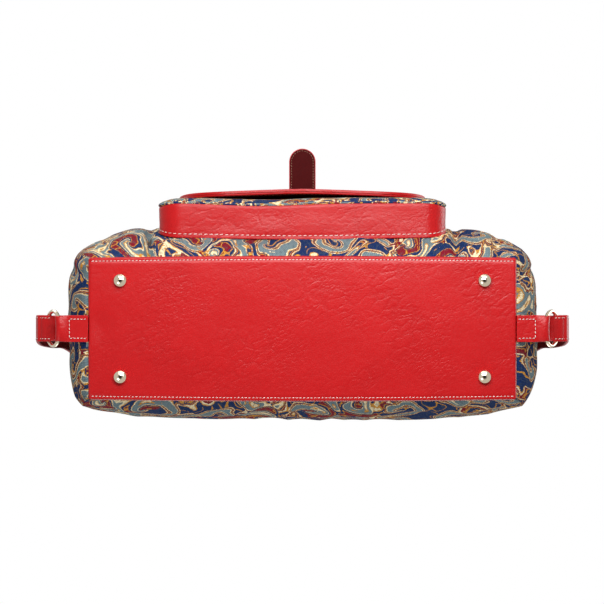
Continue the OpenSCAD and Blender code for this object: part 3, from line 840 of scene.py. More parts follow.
@dataclass
class WovenBody:
    """The four tapestry panels and the lining behind them."""

    form: BodyForm
    row_power: float = 1.5
    crumple: float = 1.9
    corner: float = 3.0
    fullness: float = 11.0
    pocket_half: float = 139.0
    pinch_depth: float = 11.0
    pinch_swell: float = 3.0
    flat_w: float = 440.0
    flat_h: float = 372.0
    gusset_w: float = 158.0
    gusset_area: float = 0.041
    seam_gap: float = 0.2
    back_most: float = 1.5
    lining_in: float = 3.0
    lining_t: float = 0.6
    floor_z: float = 7.4
    floor_in: float = 5.0
    drawn_up_to: float = 90.0
    drawn_least: float = 0.48
    soft_waves: Triple = (0.018, 0.018, 0.03)
    ridge_waves: Triple = (0.03, 0.03, 0.016)
    drag_waves: Triple = (0.011, 0.011, 0.006)

    def __post_init__(self) -> None:
        """Adds up how far the drawing has run at each millimetre of height: it is drawn out near the base."""
        self.drawn = [0.0]
        for z in range(int(self.form.height) + 1):
            share = eased(min(1.0, z / self.drawn_up_to))
            self.drawn.append(self.drawn[-1] + lerp(self.drawn_least, 1.0, share))

    def row(self, v: float) -> float:
        """The height of a row, closer together near the base."""
        return lerp(self.form.base_t, self.form.height, ((v + 1) / 2) ** self.row_power)

    def chart(self, half: float, start: float) -> Chart:
        """The drawing's place on a panel of a half width, with the drawing shifted by start."""
        def flat(u: float, v: float) -> Pair:
            """A point of the drawing."""
            z = self.row(v)
            k = int(z)
            return u * half + start, lerp(self.drawn[k], self.drawn[k + 1], z - k)
        return flat

    def held(self, u: float, z: float) -> float:
        """How free the cloth is: 0 at its seams, 1 in the middle."""
        rise = self.form.rise(z)
        return (1 - u ** 6) * min(1.0, rise * 14) * min(1.0, (1 - rise) * 8)

    def fold(self, x: float, y: float, z: float, u: float) -> float:
        """How far the cloth is crumpled outwards at a point."""
        soft = lumps((x, y, z), self.soft_waves)
        ridge = 1 - abs(lumps((x, y, z), self.ridge_waves, (9, 0, 4)) * 2)
        drag = 1 - abs(lumps((x + z, y - z, z), self.drag_waves, (0, 5, 0)) * 2.4)
        loose = 1 - 0.75 * dimple(max(0.0, abs(x) - self.pocket_half), 24) * dimple(max(0.0, z - 200), 40)
        out = soft * 1.1 + (ridge - 0.6) * 0.9 + loose * (drag - 0.5) * 1.5
        return self.crumple * self.held(u, z) * out

    def pinch(self, x: float, z: float) -> float:
        """The deep folds where the pocket's seam draws the front panel in, and the corners' gathers."""
        beyond = abs(x) - self.pocket_half
        share = 1.0 if x < 0 else 0.6
        low = min(1.0, max(0.0, z - 2) / 12) * dimple(max(0.0, z - 46), 60)
        gather = 4.0 * dimple(x - 181 - z * 0.12, 4.5) if x > 0 else 2.0 * dimple(x + 186 + z * 0.1, 5.0)
        swell = self.pinch_swell * dimple(beyond - 22 - z * 0.1, 12)
        groove = self.pinch_depth * dimple(beyond - 5 - z * 0.06, 3.8)
        return low * (share * (swell - groove) - gather)

    def tuck(self, u: float, z: float) -> float:
        """How far a panel's edge is drawn in at the body's soft corners."""
        return self.corner * self.form.swell_w(z) * abs(u) ** 8

    def panel(self, sign: int, inset: float) -> Place:
        """The outer face of the front panel (-1) or the back panel (1), at an inset."""
        def place(u: float, v: float) -> Vector:
            """A point of the panel."""
            z = self.row(v)
            x = u * (self.form.seam_x(z) - self.seam_gap)
            tuck = self.tuck(u, z)
            fold = self.fold(x, 50 * sign, z, u)
            if sign < 0:
                y, out = self.form.front_y(x, z), 0.8 * fold + self.pinch(x, z)
            else:
                y, out = self.form.back_y(x, z), min(self.back_most, fold)
            return Vector((x - math.copysign(tuck + inset * abs(u), x), y + sign * (out - tuck - inset), z))
        return place

    def gusset(self, side: Side, inset: float) -> Place:
        """The outer face of one side gusset, at an inset."""
        def place(u: float, v: float) -> Vector:
            """A point of the gusset."""
            z = self.row(v)
            y = u * (self.form.seam_y(z) - self.seam_gap)
            tuck = self.tuck(u, z)
            full = self.fullness * self.form.swell_w(z) * (u * u - u ** 4)
            full -= 3.0 * dimple(y + 50 + z * 0.1, 5.0) * min(1.0, z / 14) * dimple(max(0.0, z - 50), 50)
            x = self.form.side_x(y, z) + full - tuck - inset + self.fold(60 * side.value, y, z, u)
            return Vector((side.value * x, y - math.copysign(tuck + inset * abs(u), y), z))
        return place

    def bottom(self, u: float, v: float) -> Vector:
        """The lining's floor, over the board and the feet's washers."""
        half_w, half_d = self.form.base_w / 2, self.form.base_d / 2
        return Vector((u * (half_w - self.floor_in), v * (half_d - self.floor_in), self.floor_z))

    def build(self, shop: Workshop) -> None:
        """Args:
            shop: makes the pieces.
        """
        inside = Vector((0, 0, 120))
        wide, tall, deep, thick = self.flat_w, self.flat_h, self.gusset_w, self.form.fabric_t
        for word, sign, start in (("front", -1, 0.0), ("back", 1, 600.0)):
            panel = shop.sheet(f"{word}_panel_tapestry", self.panel(sign, 0.0), (150, 120), (wide, tall),
                               thick, shop.woven, inside, (f"{word}_panel",),
                               chart=self.chart(wide / 2, start))
            shop.sheet(f"{word}_lining", self.panel(sign, self.lining_in), (40, 40), (wide, tall),
                       self.lining_t, shop.lining, inside, ("lining",) if sign < 0 else ())
        for side in Side:
            node = f"side_gusset_{side.word()}"
            gusset = shop.sheet(f"{node}_tapestry", self.gusset(side, 0.0), (60, 120), (deep, tall), thick,
                                shop.woven, inside, (node,), chart=self.chart(deep / 2, 300.0 * side.value))
            shop.sheet(f"{node}_lining", self.gusset(side, self.lining_in), (16, 40), (deep, tall),
                       self.lining_t, shop.lining, inside)
        shop.sheet("bottom_lining", self.bottom, (20, 8), (390.0, 125.0), self.lining_t, shop.lining,
                   Vector())


@dataclass
class Base:
    """The leather base with its feet."""

    form: BodyForm
    leather_t: float = 2.0
    corner: float = 2.5
    edge_in: float = 0.6
    bow: float = 1.6
    lip: float = 2.6
    lip_roll: float = 1.7
    groove: float = 0.55
    foot_sink: float = 0.5
    dent: float = 1.3
    dent_at: Pair = (-189.0, -3.0)
    dent_r: float = 9.0
    stitch_in: float = 3.4
    stitch_end: float = 2.5
    stitch_pitch: float = 3.4
    foot_dx: float = 340.0
    foot_dy: float = 90.0
    foot_r: float = 5.75
    foot_h: float = 6.0
    foot_cap: float = 2.0
    foot_round: float = 0.45

    def half_depth(self, x: float) -> float:
        """Half of the base's depth, a little fuller in the middle."""
        return self.form.base_d / 2 - self.edge_in + self.bow * (1 - (2 * x / self.form.base_w) ** 2)

    def feet(self) -> list[Pair]:
        """The feet's places."""
        return [(sx * self.foot_dx / 2, sy * self.foot_dy / 2) for sx in (-1, 1) for sy in (-1, 1)]

    def depth_at(self, x: float, y: float) -> float:
        """The underside's height: soft waves, sewn grooves, rolled edges, foot dimples and a dent."""
        from_ends = self.form.base_w / 2 - abs(x)
        from_long = self.half_depth(x) - abs(y)
        z = 0.45 * lumps((x, y, 0), (0.012, 0.02, 0), (0, 0, 3))
        z += 0.14 * lumps((x, y, 0), (0.05, 0.06, 0), (0, 0, 8))
        z += self.groove * dimple(from_long - self.stitch_in, 1.1)
        for edge in (from_ends, from_long):
            if edge < self.lip:
                share = 1 - max(edge, 0.0) / self.lip
                z += self.lip_roll * (1 - math.sqrt(1 - min(share, 0.999) ** 2))
        for fx, fy in self.feet():
            z += self.foot_sink * dimple(math.hypot(x - fx, y - fy), self.dent_r)
        z += self.dent * dimple(math.hypot(x - self.dent_at[0], (y - self.dent_at[1]) / 1.6), self.dent_r)
        return z

    def place(self, u: float, v: float) -> Vector:
        """The base's underside, with rounded corners."""
        x = u * self.form.base_w / 2
        reach = self.half_depth(x)
        y = v * reach
        a = abs(x) - (self.form.base_w / 2 - self.corner)
        b = abs(y) - (reach - self.corner)
        if a > 0 and b > 0:
            shrink = max(a, b) / math.hypot(a, b)
            x -= math.copysign(a * (1 - shrink), x)
            y -= math.copysign(b * (1 - shrink), y)
        return Vector((x, y, self.depth_at(x, y)))

    def row(self, sign: int) -> Track:
        """The stitch row along the front or the back edge."""
        def track(s: float) -> Spot:
            """A point of the row."""
            x = lerp(-1, 1, s) * (self.form.base_w / 2 - self.stitch_end)
            y = sign * (self.half_depth(x) - self.stitch_in)
            return Vector((x, y, self.depth_at(x, y) - 0.12)), Vector((0, 0, -1))
        return track

    def foot_outline(self) -> list[Pair]:
        """A foot's outline from its tip: a low cap, a round shoulder, a post and a flange."""
        r, soft = self.foot_r, self.foot_round
        rim = r - soft
        ball = (rim ** 2 + self.foot_cap ** 2) / (2 * self.foot_cap)
        out = [rim * k / 16 for k in range(17)]
        cap = [(x, ball - self.foot_h - math.sqrt(ball ** 2 - x ** 2)) for x in out]
        bend = [k * 0.26 for k in range(3, 7)]
        shoulder = [(rim + soft * math.sin(a), cap[-1][1] + 0.5 * (1 - math.cos(a))) for a in bend]
        return cap + shoulder + [(r, -0.9), (r + 0.35, -0.5), (r + 0.4, 0.1), (r - 0.2, 0.7), (0.0, 0.9)]

    def build(self, shop: Workshop) -> None:
        """Builds the base, its stitches and its feet.

        Args:
            shop: makes the pieces.
        """
        size = (self.form.base_w, self.form.base_d)
        shop.sheet("base_leather", self.place, (300, 110), size, self.leather_t, shop.red,
                   Vector((0, 0, 100)), ("base_panel",))
        shop.stitches("base_stitches", [self.row(-1), self.row(1)], self.stitch_pitch)
        bm = bmesh.new()
        for middle in self.feet():
            shop.spin(bm, self.foot_outline(), middle, 40, False)
        shop.close(bm)
        shop.piece("feet_domes", bm, shop.gold, ("feet",))


@dataclass
class Pocket:
    """The front pocket: leather gusset and tapestry front."""

    form: BodyForm
    width: float = 278.0
    low: float = 46.0
    height: float = 163.0
    corner: float = 22.0
    low_depth: float = 35.0
    top_depth: float = 18.0
    crown: float = 2.0
    gusset_t: float = 2.0
    gap: float = 0.4
    swell: float = 0.9
    hem: float = 3.6
    roll: float = 0.5
    edge_r: float = 1.6
    edge_in: float = 1.2
    edge_out: float = 1.1
    sag_middle: float = 2.6
    sag_ends: float = 7.0
    sag_run: float = 26.0
    turn: float = 0.28
    flat_h: float = 170.0
    drawing_at: float = 900.0
    stitch_pitch: float = 5.0

    def top(self) -> float:
        """The height of the pocket's open top."""
        return self.low + self.height

    def edge_y(self, z: float) -> float:
        """How far the gusset's front edge stands in front of the origin."""
        return lerp(self.low_depth, self.top_depth, (z - self.low) / self.height) - self.form.front_y(0, z)

    def bulge(self, u: float, z: float) -> float:
        """The pocket front's crown."""
        s = max(0.0, 1 - 2 * (z - self.low) / self.height)
        return self.swell * (1 - u ** 6) * (1 - s ** 6)

    def outer_y(self, z: float) -> float:
        """The furthest that the pocket reaches forwards at a height."""
        return self.edge_y(z) + self.gap + self.form.fabric_t + self.crown

    def outline(self, s: float, inset: float = 0.0) -> Pair:
        """A point of the pocket's U outline, from its left top to its right top, as X and Z."""
        w = self.width / 2 - inset
        r = self.corner - inset
        z = self.low + inset
        side = self.top() - z - r
        arc = math.pi * r / 2
        floor = 2 * (w - r)
        run = s * (2 * side + 2 * arc + floor)
        if run < side:
            return -w, self.top() - run
        run -= side
        if run < arc:
            a = math.pi + run / r
            return r - w + r * math.cos(a), z + r + r * math.sin(a)
        run -= arc
        if run < floor:
            return r - w + run, z
        run -= floor
        if run < arc:
            a = 1.5 * math.pi + run / r
            return w - r + r * math.cos(a), z + r + r * math.sin(a)
        return w, z + r + (run - arc)

    def sag(self, x: float, z: float) -> float:
        """How far the pocket's soft lower edge hangs back, most at its corners."""
        end = max(0.0, abs(x) - self.width / 2 + self.sag_run) / self.sag_run
        back = self.sag_middle * dimple(x + 40, 48) + self.sag_ends * end ** 3
        return back * max(0.0, 1 - (z - self.low) / 150)

    def span(self, x: float, z: float) -> Pair:
        """The gusset's back and front edges along Y."""
        return self.form.front_y(x, z) - self.gap, self.sag(x, z) - self.edge_y(z)

    def band(self, u: float, v: float) -> Vector:
        """The gusset's outer face, softly sunk between its edges."""
        x, z = self.outline((u + 1) / 2)
        back, front = self.span(x, z)
        share = (v + 1) / 2
        sink = 0.3 * (1 - v * v) * (1 + 2 * lumps((x, share, z), (0.03, 2, 0.03)))
        roll = 0.6 * max(0.0, 1 - (1 - share) * 12) ** 2
        roll += 0.3 * dimple(share * (back - front) - self.hem, 1.0)
        inward = Vector((-x, 0, self.low + self.height * 0.5 - z)).normalized()
        return Vector((x, lerp(back, front, share), z)) + inward * (sink + roll)

    def face(self, u: float, v: float) -> Vector:
        """The pocket front's outer face, rolled at its sewn edge."""
        share = (v + 1) / 2
        if share < self.turn:
            a = math.pi / 2 * share / self.turn
            z = self.low + self.corner * (1 - math.cos(a))
            half = self.width / 2 - self.corner * (1 - math.sin(a))
        else:
            z = lerp(self.low + self.corner, self.top(), (share - self.turn) / (1 - self.turn))
            half = self.width / 2
        x = u * half
        soft = 0.5 * lumps((u, 0, z), (4, 0, 0.025), (0, 2, 0)) * (1 - u ** 4)
        roll = self.roll * dimple(min(z - self.low, half - abs(x)) - 2.0, 2.6)
        out = self.gap + self.form.fabric_t + self.bulge(u, z) + soft + roll
        return Vector((x, self.sag(x, z) - self.edge_y(z) - out, z))

    def edge(self, s: float) -> Spot:
        """The rolled edge between the gusset and the pocket front."""
        x, z = self.outline(s, self.edge_in)
        return Vector((x, self.sag(x, z) - self.edge_y(z) - self.edge_out, z)), Vector((0, -1, 0))

    def chart(self, u: float, v: float) -> Pair:
        """The drawing's place on the pocket front: it is drawn out over the rolled edge."""
        spot = self.face(u, v)
        up = spot.z - self.low
        return spot.x + self.drawing_at, up - 14.0 * min(1.0, up / 20)

    def row(self, s: float) -> Spot:
        """The stitch row near the gusset's back edge."""
        back, front = self.span(*self.outline(s))
        spot = self.band(2 * s - 1, 2 * self.hem / (back - front) - 1)
        a, b = self.outline(max(0.0, s - 0.004)), self.outline(min(1.0, s + 0.004))
        normal = Vector((b[1] - a[1], 0, a[0] - b[0])).normalized()
        return spot + normal * 0.15, normal

    def build(self, shop: Workshop) -> None:
        """Builds the pocket.

        Args:
            shop: makes the pieces.
        """
        middle = Vector((0, -90, self.low + self.height / 2))
        shop.sheet("pocket_gusset_leather", self.band, (220, 20), (575.0, 30.0), self.gusset_t, shop.red,
                   middle, ("pocket_gusset",), round_edge=0.5)
        size = (self.width, self.flat_h)
        front = shop.sheet("pocket_front_tapestry", self.face, (140, 110), size, self.form.fabric_t,
                           shop.woven, middle, ("pocket_front",), round_edge=0.7, chart=self.chart)
        shop.tube("pocket_edge_roll", self.edge, self.edge_r, shop.woven)
        shop.stitches("pocket_stitches", [self.row], self.stitch_pitch)


@dataclass
class Flap:
    """The pocket flap and its closure tab."""

    pocket: Pocket
    width: float = 246.0
    rise: float = 21.0
    drop: float = 151.0
    corner: float = 52.0
    face_t: float = 2.4
    lining_t: float = 1.6
    glue: float = 0.1
    lift: float = 3.2
    end_lift: float = -1.5
    lead: float = 54.0
    lead_angle: float = 6.0
    turn: float = 0.55
    stitch_in: float = 4.0
    stitch_pitch: float = 3.8
    back_stitch_in: float = 6.5
    fine_thread: float = 0.26
    tab_w: float = 26.0
    tab_l: float = 41.0
    tab_up: float = 11.0
    tab_face_t: float = 2.0
    tab_lining_t: float = 1.2
    tab_lining_in: float = 0.8
    tab_soft: float = 0.4
    tab_stitch_in: float = 2.4
    tab_pitch: float = 2.6
    bead_r: float = 1.25
    cut_back: float = 3.4
    end_run: float = 249.0
    side_share: float = 0.16

    def __post_init__(self) -> None:
        """Finds the seam's place along Y, which every point needs."""
        form, z = self.pocket.form, self.top() - self.thickness()
        self.seam_y = min(form.front_y(self.width / 2 * k / 24, z) for k in range(25)) - self.pocket.gap

    def thickness(self) -> float:
        """The flap's whole thickness."""
        return self.face_t + self.glue + self.lining_t

    def top(self) -> float:
        """The height of the flap's seam."""
        return self.pocket.top() + self.rise

    def edge_z(self, u: float) -> float:
        """The height of the flap's lower edge, rounded at its corners."""
        d = clamp(abs(u) * self.width / 2 - self.width / 2 + self.corner, 0.0, self.corner)
        return self.top() - self.drop + self.corner - math.sqrt(self.corner ** 2 - d ** 2)

    def curve(self, u: float) -> list[Vector]:
        """Corner points, as Y and Z, of the curve from the seam to the edge."""
        top, low = self.top(), self.edge_z(u)
        bend = lerp(low, top, self.turn)
        off = lerp(self.lift, self.end_lift, abs(u) ** 1.3) + self.thickness()
        a = math.radians(self.lead_angle)
        start = Vector((self.seam_y, top))
        ends = [Vector((-self.pocket.outer_y(z) - off, z)) for z in (bend, low)]
        return [start, start - Vector((math.cos(a), math.sin(a))) * self.lead, *ends]

    def point(self, u: float, s: float, depth: float) -> Spot:
        """A point of the flap.

        Args:
            u: share of -1 to 1 across the flap.
            s: share of 0 to 1 from the seam to the edge.
            depth: millimetres below the outer face.
        Returns:
            The point and the outer face's normal.
        """
        c = self.curve(u)
        r = 1 - s
        spot = c[0] * r ** 3 + c[1] * 3 * s * r * r + c[2] * 3 * s * s * r + c[3] * s ** 3
        way = (c[1] - c[0]) * r * r + (c[2] - c[1]) * 2 * s * r + (c[3] - c[2]) * s * s
        normal = Vector((way.y, -way.x)).normalized()
        spot = spot - normal * depth
        return Vector((u * self.width / 2, spot.x, spot.y)), Vector((0, normal.x, normal.y))

    def reach(self, inset: float) -> Pair:
        """How far a layer goes across and along the flap, as shares, when it is cut back by an inset."""
        return 1 - 2 * inset / self.width, 1 - inset / self.end_run

    def layer(self, depth: float, inset: float) -> Place:
        """One layer's outer face, cut back by an inset, with columns closer together at the rounded ends."""
        across, along = self.reach(inset)

        def place(u: float, v: float) -> Vector:
            """A point of the layer."""
            return self.point(math.sin(u * math.pi / 2) * across, (v + 1) / 2 * along, depth)[0]
        return place

    def rim(self, depth: float, out: float, inset: float) -> Track:
        """A line along the flap's free edge, at a depth, raised by out and set in from the edge."""
        across, along = self.reach(inset)

        def track(s: float) -> Spot:
            """A point of the line."""
            near = min(s, 1 - s)
            if near < self.side_share:
                u = math.copysign(across, s - 0.5)
            else:
                u = math.sin((s - 0.5) / (0.5 - self.side_share) * math.pi / 2) * across
            share = min(1.0, near / self.side_share)
            spot, normal = self.point(u, lerp(0.06, along, share), depth)
            return spot + normal * out, normal
        return track

    def tab_place(self) -> Vector:
        """The middle of the tab's root, at its underside."""
        low, high = 0.0, 1.0
        z = self.top() - self.drop + self.tab_up
        for _ in range(30):
            mid = (low + high) / 2
            if self.point(0, mid, 0)[0].z > z:
                low = mid
            else:
                high = mid
        return Vector((0, self.point(0, low, 0)[0].y - self.pocket.gap, z))

    def tab_outline(self, s: float, inset: float) -> Pair:
        """A point of the tab's outline, from its left root round its tip, as X and distance from the root."""
        r = self.tab_w / 2 - inset
        side = self.tab_l - self.tab_w / 2
        run = s * (2 * side + math.pi * r)
        if run < side:
            return -r, run
        if run < side + math.pi * r:
            a = math.pi - (run - side) / r
            return r * math.cos(a), side + r * math.sin(a)
        return r, side - (run - side - math.pi * r)

    def tab_layer(self, shop: Workshop, word: str, z: float, thick: float, inset: float, finish: Leather,
                  node: str) -> None:
        """Builds one layer of the tab.

        Args:
            shop: makes the piece.
            word: its name after the tab's.
            z: the height of its underside.
            thick: its thickness.
            inset: how far it is cut back from the tab's outline.
            finish: its leather.
            node: the node that it stands for.
        """
        root = self.tab_place()
        bm = bmesh.new()
        outline = [self.tab_outline(k / 60, inset) for k in range(61)]
        ring = [bm.verts.new((x, root.y - out, z)) for x, out in outline]
        bmesh.ops.extrude_face_region(bm, geom=[bm.faces.new(ring)])
        bmesh.ops.translate(bm, verts=[v for v in bm.verts if v not in ring], vec=(0, 0, thick))
        bmesh.ops.recalc_face_normals(bm, faces=bm.faces)
        shop.soften(bm, self.tab_soft, 3, 60)
        shop.piece(f"tab_{word}", bm, finish, (node,), Body.TAB)

    def tab_row(self, z: float, up: float) -> Track:
        """The stitch row round the tab, at a height, on its upper or lower face."""
        root = self.tab_place()

        def track(s: float) -> Spot:
            """A point of the row."""
            x, out = self.tab_outline(s, self.tab_stitch_in)
            return Vector((x, root.y - max(out, 1.5), z)), Vector((0, 0, up))
        return track

    def build(self, shop: Workshop) -> None:
        """Builds the flap and the tab.

        Args:
            shop: makes the pieces.
        """
        steps, size, inside = (120, 60), (self.width, 190.0), Vector((0, -80, 120))
        under = self.face_t + self.glue
        shop.sheet("flap_leather", self.layer(0.0, 0.0), steps, size, self.face_t, shop.red, inside,
                   ("flap_face",), Body.FLAP, round_edge=0.7)
        # painted shade: the near-black backing leather paints the shade under the flap
        shop.sheet("flap_backing", self.layer(under, self.cut_back), steps, size, self.lining_t, shop.dark,
                   inside, ("flap_lining",), Body.FLAP, round_edge=0.4)
        bead = self.rim(under + self.bead_r * 0.7, 0.0, self.bead_r + 0.6)
        shop.tube("flap_edge", bead, self.bead_r, shop.red, Body.FLAP)
        rows = [self.rim(0.0, 0.1, self.stitch_in)]
        back_rows = [self.rim(self.thickness(), -0.1, self.back_stitch_in)]
        shop.stitches("flap_stitches", rows, self.stitch_pitch, Body.FLAP)
        # painted shade: the back stitches take the dimmed copy of the white thread
        shop.stitches("flap_back_stitches", back_rows, self.stitch_pitch, Body.FLAP, self.fine_thread,
                      shop.tan)
        low = self.tab_place().z
        mid = low + self.tab_lining_t
        top = mid + self.tab_face_t
        self.tab_layer(shop, "leather", mid, self.tab_face_t, 0.0, shop.red, "tab_face")
        # painted shade: the near-black backing leather paints the shade under the tab
        self.tab_layer(shop, "backing", low, self.tab_lining_t, self.tab_lining_in, shop.dark, "tab_lining")
        shop.stitches("tab_stitches", [self.tab_row(top + 0.1, 1)], self.tab_pitch, Body.TAB, 0.3)
        # painted shade: the back stitches take the dimmed copy of the white thread
        shop.stitches("tab_back_stitches", [self.tab_row(low - 0.08, -1)], self.tab_pitch, Body.TAB,
                      self.fine_thread, shop.tan)


@dataclass
class Strap:
    """One shoulder strap with its ring and the tab that holds the ring at the base.

    The strap's way goes through points near the ring (shares of the ring and the width: out, back, up),
    beside the gusset and behind the back panel (shares of the height and of the width, and thicknesses off
    the cloth), and on the yoke (share of its height, slack).
    """

    form: BodyForm
    side: Side
    width: float = 25.0
    thick: float = 3.4
    outer_t: float = 1.8
    inner_t: float = 1.5
    inner_in: float = 1.85
    crown: float = 0.35
    tab_t: float = 2.2
    tab_l: float = 26.5
    ring_d: float = 36.0
    wire: float = 3.6
    tilt: float = 60.0
    fold_gap: float = 0.3
    yoke_low: float = 268.0
    yoke_w: float = 168.0
    yoke_h: float = 56.0
    yoke_t: float = 2.4
    yoke_share: float = 0.18
    gap: float = 0.4
    stitch_in: float = 2.6
    box_in: float = 3.6
    stitch_pitch: float = 3.3
    strap_l: float = 480.0
    layer_gap: float = 0.1
    tab_short: float = 4.2
    tab_flat: float = 66.0
    tab_open: float = 8.0
    tab_follow: float = 0.4
    loop_lengths: Pair = (14.0, 0.5)
    loop_way: Triple = (1.0, 0.0, 0.22)
    loop_flat: float = 35.0
    loop_open: float = 24.0
    loop_follow: float = 0.1
    box_near: float = 9.0
    box_far_in: float = 1.5
    sag_run: float = 12.0
    narrow_run: float = 9.0
    narrow_share: float = 0.05
    turn_up: float = 0.67
    near_ring: tuple[Triple, ...] = ((0.28, 0.04, 0.36), (0.25, 0.2, 0.95))
    up_side: tuple[Triple, ...] = ((0.3, 0.1, 5), (0.42, 0.13, 3), (0.53, 0.3, 2), (0.61, 0.72, 2))
    up_back: tuple[Triple, ...] = ((0.72, 0.86, 3), (0.765, 0.6, 5), (0.8, 0.36, 5.5), (0.835, 0.2, 4.5))
    up_yoke: tuple[Pair, ...] = ((0.5, 1.4), (0.85, 0.6))
    ways_across: tuple[Triple, ...] = (
        (0, 1, 0), (0, 1, 0), (0, 1, 0), (0, 1, 0), (0, 1, 0), (0, 1, -0.05), (0, 1, -0.2),
        (-0.05, 0.85, -0.5), (-0.1, 0.6, -0.75), (-0.35, 0.4, -0.85), (-0.3, 0.1, -0.95), (-0.4, 0, -0.92),
        (-0.5, 0, -0.87),
        (-0.7, 0, -0.7), (-0.97, 0, -0.25), (-1, 0, 0))

    def __post_init__(self) -> None:
        """Works out the ring and the strap's middle line."""
        a = math.radians(self.tilt)
        self.ring_r = (self.ring_d - self.wire) / 2
        self.lean = Vector((math.cos(a), 0, math.sin(a)))
        self.tab_wire = Vector((self.form.base_w / 2 + self.tab_l, 0, self.tab_t))
        self.ring_mid = self.tab_wire + self.lean * self.ring_r
        self.fold_r = self.wire / 2 + self.fold_gap
        wire = self.ring_mid + self.lean * self.ring_r
        self.loop = wire + Vector((-6.5, 0, -2.4))
        self.line = [self.loop + Vector((1.0, 0, -self.fold_r - self.thick / 2)),
                     self.loop + Vector((8.5, 0, -self.fold_r - 0.5)), wire + Vector((8.0, 0, 3.2))]
        self.line += [wire + Vector((out * self.ring_d, back * self.width, up * self.ring_d))
                      for out, back, up in self.near_ring]
        self.line += [self.beside(*way) for way in self.up_side]
        turn = self.turn_up * self.form.height
        seam = Vector((self.form.seam_x(turn), self.form.seam_y(turn), turn))
        self.line.append(seam + Vector((1.2, 1.8, 0)) * self.thick)
        self.line += [self.behind(*way) for way in self.up_back]
        self.line += [self.on_yoke(*way) for way in self.up_yoke]
        self.across = [Vector(way) for way in self.ways_across]

    def beside(self, up: float, across: float, off: float) -> Vector:
        """A point off the right gusset."""
        z = up * self.form.height
        y = across * self.form.seam_y(z)
        return Vector((self.form.side_x(y, z) + off * self.thick, y, z))

    def behind(self, up: float, across: float, off: float) -> Vector:
        """A point off the back panel."""
        z = up * self.form.height
        x = across * self.form.seam_x(z)
        return Vector((x, self.form.back_y(x, z) + off * self.thick, z))

    def on_yoke(self, up: float, slack: float) -> Vector:
        """A point of the strap's sewn end."""
        x = self.yoke_share * self.yoke_w
        z = self.yoke_low + up * self.yoke_h
        stand = self.gap + self.yoke_t + self.gap + self.thick / 2
        return Vector((x, self.form.back_y(x, z) + stand + slack, z))

    @staticmethod
    def smooth(points: list[Vector], s: float) -> Vector:
        """A point on the smooth curve through some points, at a share of 0 to 1."""
        last = len(points) - 1
        k = min(int(s * last), last - 1)
        t = s * last - k
        a, b, c, d = points[max(k - 1, 0)], points[k], points[k + 1], points[min(k + 2, last)]
        square, cube = 2 * a - 5 * b + 4 * c - d, 3 * b - a - 3 * c + d
        return 0.5 * (2 * b + (c - a) * t + square * t * t + cube * t ** 3)

    def frame(self, s: float) -> tuple[Vector, Vector, Vector]:
        """The strap's middle, its direction across and its outward normal."""
        step = 0.004
        ahead, behind = self.smooth(self.line, min(1, s + step)), self.smooth(self.line, max(0, s - step))
        way = (ahead - behind).normalized()
        normal = way.cross(self.smooth(self.across, s)).normalized() * -1
        return self.smooth(self.line, s), way.cross(normal).normalized() * -1, normal

    def layer(self, depth: float) -> Place:
        """One layer's outer face at a depth below the strap's outer face."""
        def place(u: float, v: float) -> Vector:
            """A point of the layer."""
            spot, across, normal = self.frame((v + 1) / 2)
            out = self.thick / 2 - depth - self.crown * u ** 4
            return self.side.turn(spot + across * (u * self.width / 2) + normal * out)
        return place

    def edge_row(self, u: float) -> Track:
        """A stitch row along one of the strap's edges."""
        def track(s: float) -> Spot:
            """A point of the row."""
            spot, across, normal = self.frame(lerp(0.01, 0.99, s))
            shift = across * (u * (self.width / 2 - self.stitch_in)) + normal * (self.thick / 2)
            return self.side.turn(spot + shift), self.side.turn(normal)
        return track

    def fold(self, wire: Vector, way: Vector, lengths: Pair, layer_t: float, inwards: float, open_run: float,
             follow: float) -> Place:
        """A strip that runs to the ring's wire, round it and back.

        Args:
            wire: the middle of the wire.
            way: the direction of the strip away from the wire, across Y.
            lengths: its two layers' lengths from the wire, the upper one first.
            layer_t: its thickness.
            inwards: 1 where the ring's middle lies along the ring's lean, -1 where against it.
            open_run: the distance from the wire over which the layers close.
            follow: how far the strip's end follows the ring's curve, from 0 to 1.
        Returns:
            The strip's outer face.
        """
        up = Vector((0, 1, 0)).cross(way) * -1
        r = self.fold_r + layer_t
        half = math.pi * r
        upper, lower = lengths

        def place(u: float, v: float) -> Vector:
            """A point of the strip."""
            run = (v + 1) / 2 * (upper + lower + half)
            if run < upper or run > upper + half:
                far = upper - run if run < upper else run - upper - half
                sign = -1 if run < upper else 1
                height = lerp(layer_t, r, eased(max(0.0, 1 - far / open_run)))
                spot = wire + way * far + up * (sign * height)
            else:
                a = -math.pi / 2 - (run - upper) / r
                spot = wire + way * (r * math.cos(a)) + up * (r * math.sin(a))
                far = 0.0
            y = u * self.width / 2
            sag = self.ring_r - math.sqrt(max(self.ring_r ** 2 - y * y, 0.0))
            sag *= max(0.0, 1 - far / self.sag_run)
            narrow = 1 - self.narrow_share * max(0.0, 1 - far / self.narrow_run)
            return self.side.turn(spot + self.lean * (inwards * sag * follow) + Vector((0, y * narrow, 0)))
        return place

    def box_rows(self, wire: Vector, way: Vector, near: float, far: float, height: float) -> list[Track]:
        """The stitched box on both faces of a fold's sewn layers, open towards the base."""
        up = Vector((0, 1, 0)).cross(way) * -1
        half = self.width / 2 - self.box_in
        corners = [(far, -half), (near, -half), (near, half), (far, half)]

        def side_track(a: Pair, b: Pair, sign: float) -> Track:
            """One side of the box."""
            def track(s: float) -> Spot:
                """A point of the side."""
                across = Vector((0, lerp(a[1], b[1], s), 0))
                spot = wire + way * lerp(a[0], b[0], s) + across + up * (sign * height)
                return self.side.turn(spot), self.side.turn(up * sign)
            return track
        return [side_track(a, b, sign) for sign in (-1, 1) for a, b in zip(corners, corners[1:])]

